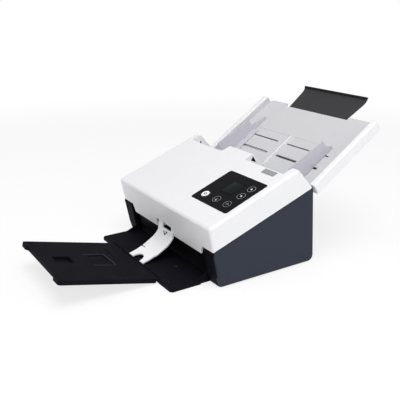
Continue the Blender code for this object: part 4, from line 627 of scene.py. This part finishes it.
def refinish(piece, finish, chosen):
    """Gives the chosen faces of a moulding another finish."""
    piece.data.materials.append(finish)
    faces = [face for face in piece.data.polygons if chosen(face.center)]
    for face in faces:
        face.material_index = 1
    print(piece.name, "has", len(faces), "faces in", finish.name)


print("the top rises", round(math.degrees(TOP_FACE.to_euler().x), 1), "degrees")

# %% [markdown]
# ## Printed caps
# The caps carry ink: a thin ring round each black cap, and a plain sign in it. The signs are
# generic: a ring with a bar for power, a crossed square for stop, a diamond for scan and a
# triangle for each direction. Ink lies on the face of the cap, so it moves with its button.

# %% Printed caps
CAP_TOP = 0.5
INK_LOW = CAP_TOP - 0.02
INK_HIGH = CAP_TOP + 0.05
INK_EDGE = 0.015
POWER_BUTTON = (62.5, 59.8)
SIGN_GAP = 1.1
BUTTONS = {"stop_button": (96.0, 59.8), "scan_button": (126.2, 59.8),
           "down_button": (129.5, 86.8), "up_button": (129.5, 108.8)}
for button, (x, y) in BUTTONS.items():
    lay([hoop(button + "_ring", x, y, CAP_TOP, 7.4, 0.6)], TOP_FACE, grey_ink, button,
        edge=0)

x, y = POWER_BUTTON
lay([hoop("power_cap_rim", x, y, CAP_TOP, 7.45, 0.8)], TOP_FACE, cap_acrylic, "power_button",
    edge=0)
# The ring of the power sign is opened at its top, where the bar stands
sign = hoop("power_ring_sign", x, y, CAP_TOP, 2.6, 2.2)
bpy.ops.object.mode_set(mode="EDIT")
bpy.ops.mesh.select_all(action="DESELECT")
bpy.ops.object.mode_set(mode="OBJECT")
for point in sign.data.vertices:
    point.select = abs(point.co.x - x * MM) < SIGN_GAP * MM and point.co.y > y * MM
bpy.ops.object.mode_set(mode="EDIT")
bpy.ops.mesh.delete(type="VERT")
bpy.ops.mesh.select_all(action="SELECT")
bpy.ops.mesh.fill_holes(sides=8)
bpy.ops.object.mode_set(mode="OBJECT")
bar = block("power_bar", (x - 0.6, x + 0.6), (y + 0.3, y + 4.2), (INK_LOW, CAP_TOP + 0.07))
lay([sign, bar], TOP_FACE, dark_ink, "power_button", edge=0)

# The stop sign is a cross, whose two arms are drawn level and then turned, and a square
x, y = BUTTONS["stop_button"]
cross = []
for turn in (45, -45):
    pick(block("stop_cross", (-3.2, 3.2), (-0.25, 0.25), (INK_LOW, INK_HIGH)))
    cross.append(shape("stop_cross", turn=turn, to=(x, y + 0.4, 0)))
lay(cross, TOP_FACE, grey_ink, "stop_button", edge=INK_EDGE)
lay([block("stop_square", (x - 0.1, x + 2.1), (y - 4.0, y - 1.8), (INK_LOW, INK_HIGH))],
    TOP_FACE, bright_ink, "stop_button", edge=INK_EDGE)
x, y = BUTTONS["scan_button"]
lay([hoop("scan_diamond", x, y, CAP_TOP, 2.6, 0.7, sides=4)], TOP_FACE, grey_ink, "scan_button",
    edge=0)
for button, turn in (("down_button", 180), ("up_button", 0)):
    x, y = BUTTONS[button]
    lay([disc(button + "_triangle", x, y, INK_LOW, 2.7, INK_HIGH - INK_LOW, 3, turn)], TOP_FACE,
        bright_ink, button, edge=INK_EDGE)
print("buttons with signs:", 1 + len(BUTTONS))

# %% [markdown]
# ## Display
# Behind the window lies the glass of the display, a little smaller than the window. It is the
# same face, inset by hand and given the tone of a resting liquid crystal.

# %% Display
def inset_top(piece, margin, finish):
    """Insets the largest face that looks up and gives its inside another finish."""
    pick(piece)
    top = max(piece.data.polygons, key=lambda face: face.area * face.normal.z).index
    bpy.ops.object.mode_set(mode="EDIT")
    bpy.ops.mesh.select_mode(type="FACE")
    bpy.ops.mesh.select_all(action="DESELECT")
    bpy.ops.object.mode_set(mode="OBJECT")
    piece.data.polygons[top].select = True
    piece.data.materials.append(finish)
    piece.active_material_index = 1
    bpy.ops.object.mode_set(mode="EDIT")
    bpy.ops.mesh.inset(thickness=margin * MM)
    bpy.ops.object.material_slot_assign()
    bpy.ops.object.mode_set(mode="OBJECT")


WINDOW_FRAME = 2.2
inset_top(mouldings["display_window"], WINDOW_FRAME, crystal)
print("display faces:", len(mouldings["display_window"].data.polygons))

# %% [markdown]
# ## Marks and seams of the trays
# The input tray is moulded in two parts that meet in a fine seam, and raised ticks on its bed
# show where a sheet ends. The output tray has a small lighter round mark and two small stops.

# %% Marks and seams of the trays
bed = mouldings["input_tray"]
for span in ((-121, -4), (4, 90)):
    carve(bed, [block("seam", span, (104.9, 105.5), (-0.6, 1))], INPUT_SLOPE)
ticks = [block("size_ticks", (x, x + 0.7), (134, 139), (-0.1, 0.25))
         for x in (-113, -109.5, 84, 88.5, 93)]
lay(ticks, INPUT_SLOPE, pale_abs, "base")
lay([disc("ejector_mark", 59.9, -98.3, 6.45, 2.2, 0.12)], UPRIGHT, sheet_abs, "output_tray",
    edge=0.03)
stops = [disc("sheet_stops", x, y, 6.4, 0.9, 0.5, 16) for x, y in ((97.5, -141.5), (104, -139.5))]
lay(stops, UPRIGHT, sheet_abs, "output_tray")
print("ticks and stops:", len(ticks), len(stops))

# %% [markdown]
# ## Rails with a painted highlight, dark pillars
# The rails and the middle rib of the input tray are painted white, a painted highlight where they
# stand in the light above its bed.
# The pillars of the side covers get the charcoal finish of the trays on their faces that frame the
# output tray.

# %% Rails with a painted highlight, dark pillars
RAIL_INNER = 147.2 * MM
RIB_HALF = 3 * MM
RIB_FOOT = 0.2 * MM
PILLAR_BACK = -55 * MM
PILLAR_OUTER = 155 * MM
off_slope = INPUT_SLOPE.inverted()
# Painted highlight: the rails and the raised middle rib get the white finish where they catch the
# light from above
refinish(bed, white_abs, lambda at: abs(at.x) > RAIL_INNER
         or (abs(at.x) < RIB_HALF and (off_slope @ at).z > RIB_FOOT))
for name in ("left_side_cover", "right_side_cover"):
    refinish(mouldings[name], tray_abs,
             lambda at: at.y < PILLAR_BACK and abs(at.x) < PILLAR_OUTER)

# %% [markdown]
# ## Grooves and rim of the output extension, tip of the input extension
# The output extension is cut by shallow grooves and a finger well whose black floor is painted
# shade, and a low rim runs round its paper stop. The sheet of the input extension ends in a rolled
# tip, whose near-black finish is painted shade under its curl.

# %% Grooves, rim and rolled tip
flap = mouldings["output_extension"]
FLAP_TOP = 3.2
GROOVES = {
    "left_groove": ((-58, -14), (-34.4, -33.2)),
    "right_groove": ((38, 67), (-34.2, -33)),
    "end_groove": ((69.6, 71), (-63, -41)),
}
for name, (x, y) in GROOVES.items():
    carve(flap, [block(name, x, y, (FLAP_TOP - 1, 5))], OUTPUT_SLOPE)
carve(flap, [disc("rim_well", 4, -62, 1.5, 11, 4, 3, 180)], OUTPUT_SLOPE)
# Painted shade: a black plate on the floor of the well stands for the deep shade at its near end
lay([disc("rim_well_floor", 4, -62, 1.45, 10.9, 0.15, 3, 180)], OUTPUT_SLOPE, black_abs,
    "output_extension")
rim = [block("recess_rim", x, y, (FLAP_TOP - 0.2, FLAP_TOP + 0.35)) for x, y in
       (((-26, -24.6), (-90, -48)), ((24.6, 26), (-90, -48)), ((-26, 26), (-49, -47.6)))]
lay(rim, OUTPUT_SLOPE, sheet_abs, "output_extension")
print("flap faces:", len(flap.data.polygons))

# The roll gives the tip its thickness, and its near-black finish is painted shade under the curl
tip_axis = INPUT_SLOPE @ Matrix.Translation((0, 237.9 * MM, 2.0 * MM)) @ RIGHTWARD
bpy.ops.mesh.primitive_cylinder_add(vertices=24, radius=2.1 * MM, depth=172.6 * MM)
roll = shape("rolled_tip", to=(0, 0, -3.9))
lay([roll], tip_axis, tip_shade_paint, "input_extension", edge=1.2)

# %% [markdown]
# ## Painted shade in the bays, black marks on the tongue
# In the bays where sheets enter, black plates on the walls are painted shade, where the walls of the
# hump and of a bay fall into shade. Small black discs and bars sit on the press tongue, three at its
# root and two at its bend.

# %% Painted shade in the bays, black marks on the tongue
# Painted shade: a black triangle on the end wall of the hump, which lies in shade
shade_plate = plate("hump_guard", ((78.4, 169.1), (74.3, 161.5), (86.1, 157.1)), 35.8, 36.15)
lay([shade_plate], RIGHTWARD, black_abs, "cover")
# Painted shade: a black plate on a wall of a bay, which lies in shade
shade_plate = plate("bay_guard", ((80.2, 160.6), (80.4, 155.4), (83.4, 156.2), (83.2, 160.4)),
              -143.2, -142.85)
lay([shade_plate], RIGHTWARD, black_abs, "cover")
root_face = sloped(-0.0853, 0.0453, 83.7)
bend_face = sloped(-0.1190, 0.0187, 24.2)
root = [disc("root_pins", -0.6, -3.0, -0.5, 1.8, 1.7, 20)]
root += [block("root_pins", (x - 0.6, x + 0.6), (y - 1.7, y + 1.7), (-0.5, 0.8))
         for x, y in ((-4.3, 0), (5.2, 1.2))]
lay(root, root_face, black_abs, "press_tongue")
bend = [disc("bend_pins", x, 0, -0.3, 1.3, 1.2, 16) for x in (-22.6, -17.0)]
lay(bend, bend_face, black_abs, "press_tongue")
print("black marks on the tongue:", len(root) + len(bend))

# %% [markdown]
# ## Ribs and white strips of the paper path
# Sheets slide on low ribs, moulded on both paper guides beside the rollers. Along each glass
# runs a white strip that the sensor reads to set its white.

# %% Paper path
def path_ribs(name, places, end, low, high, body):
    """Two runs of ribs, before and behind the glass, which ends at one length."""
    ribs = [block(name, (x - 0.4, x + 0.4), span, (low, high))
            for x in places for span in ((6, 82), (101, end))]
    return lay(ribs, PAPER_PATH, black_abs, body)


lower = path_ribs("lower_guide_ribs", (-108, -96, -84, -72, 72, 84, 96, 108), 200, -0.1, 0.5, "base")
upper = path_ribs("upper_guide_ribs", (-102, -90, -78, 78, 90, 102), 180, 3.5, 4.1, "cover")
for name, low, high, body in (("lower_white_strip", -0.32, -0.2, "base"),
                              ("upper_white_strip", 4.2, 4.32, "cover")):
    lay([block(name, (-108, 108), (86.5, 88.5), (low, high))], PAPER_PATH, white_strip, body,
        edge=0.03)
print("rib faces:", len(lower.data.polygons), len(upper.data.polygons))

# %% [markdown]
# ## Screws
# Countersunk screws hold the rear cover and the base pan. One screw is turned, rounded and cut
# with its cross recess, and then copied to each place, each copy with its own mesh.

# %% Screws
screw = disc("screw", 0, 0, -0.8, 3.0, 1.2, 32)
bevel(screw, 0.4 * MM)
recess = [block("cross", (-1.9, 1.9), (-0.35, 0.35), (-0.3, 1)),
          block("cross", (-0.35, 0.35), (-1.9, 1.9), (-0.3, 1))]
carve(screw, recess, UPRIGHT)
SCREWS = {
    "rear_cover_screw": (REAR_FACE, ((-118, 22), (118, 22), (-118, 98), (118, 98))),
    "base_pan_screw": (UNDERSIDE, ((-110, 60), (110, 60), (-110, -98), (110, -98), (0, -98))),
}
for name, (face, places) in SCREWS.items():
    for number, (x, y) in enumerate(places, start=1):
        pick(screw)
        bpy.ops.object.duplicate()
        shape(f"{name}_{number}", to=(x, y, 0))
        lay([bpy.context.active_object], face, screw_steel, "base", edge=0)
bpy.data.objects.remove(screw)
print("screws:", sum(len(places) for _, places in SCREWS.values()))

# %% [markdown]
# ## Blank plate, contacts and board parts
# The rear cover bears a plain plate, where such a machine has its ratings. The data socket gets
# its tongue and contacts, and the main board its chips, sockets and capacitors, all at the
# sizes that such parts come in.

# %% Blank plate, contacts and board parts
BOARD_TOP = 13.3
lay([block("blank_rating_plate", (-14, 34), (88, 108), (-1.0, 0.25))], REAR_FACE, button_abs,
    "base")
lay([block("data_contact_tongue", (27, 33), (111, 120), (18.3, 20.5))], UPRIGHT, black_abs,
    "base")
contacts = [block("data_contacts", (x, x + 0.7), (112, 119.7), (z, z + 0.15))
            for x in (27.9, 31.4) for z in (18.2, 20.45)]
lay(contacts, UPRIGHT, tin_shell, "base", edge=0.04)
chips = [block("board_chips", x, y, (BOARD_TOP, 14.9)) for x, y in
         (((-34, -20), (70, 84)), ((-6, 8), (60, 70)), ((30, 36), (72, 82)), ((44, 50), (56, 60)))]
lay(chips, UPRIGHT, chip_resin, "base")
sockets = [block("board_sockets", x, y, (BOARD_TOP, 19.5)) for x, y in
           (((-56, -50), (52, 70)), ((-56, -50), (78, 92)), ((60, 76), (50, 56)))]
lay(sockets, UPRIGHT, white_nylon, "base", edge=0.4)
cans = [disc("board_capacitors", x, y, BOARD_TOP, 3.1, 8.5, 32)
        for x, y in ((66, 72), (66, 82), (14, 84))]
lay(cans, UPRIGHT, tin_shell, "base", edge=0.7)
print("parts on the board:", len(chips) + len(sockets) + len(cans))
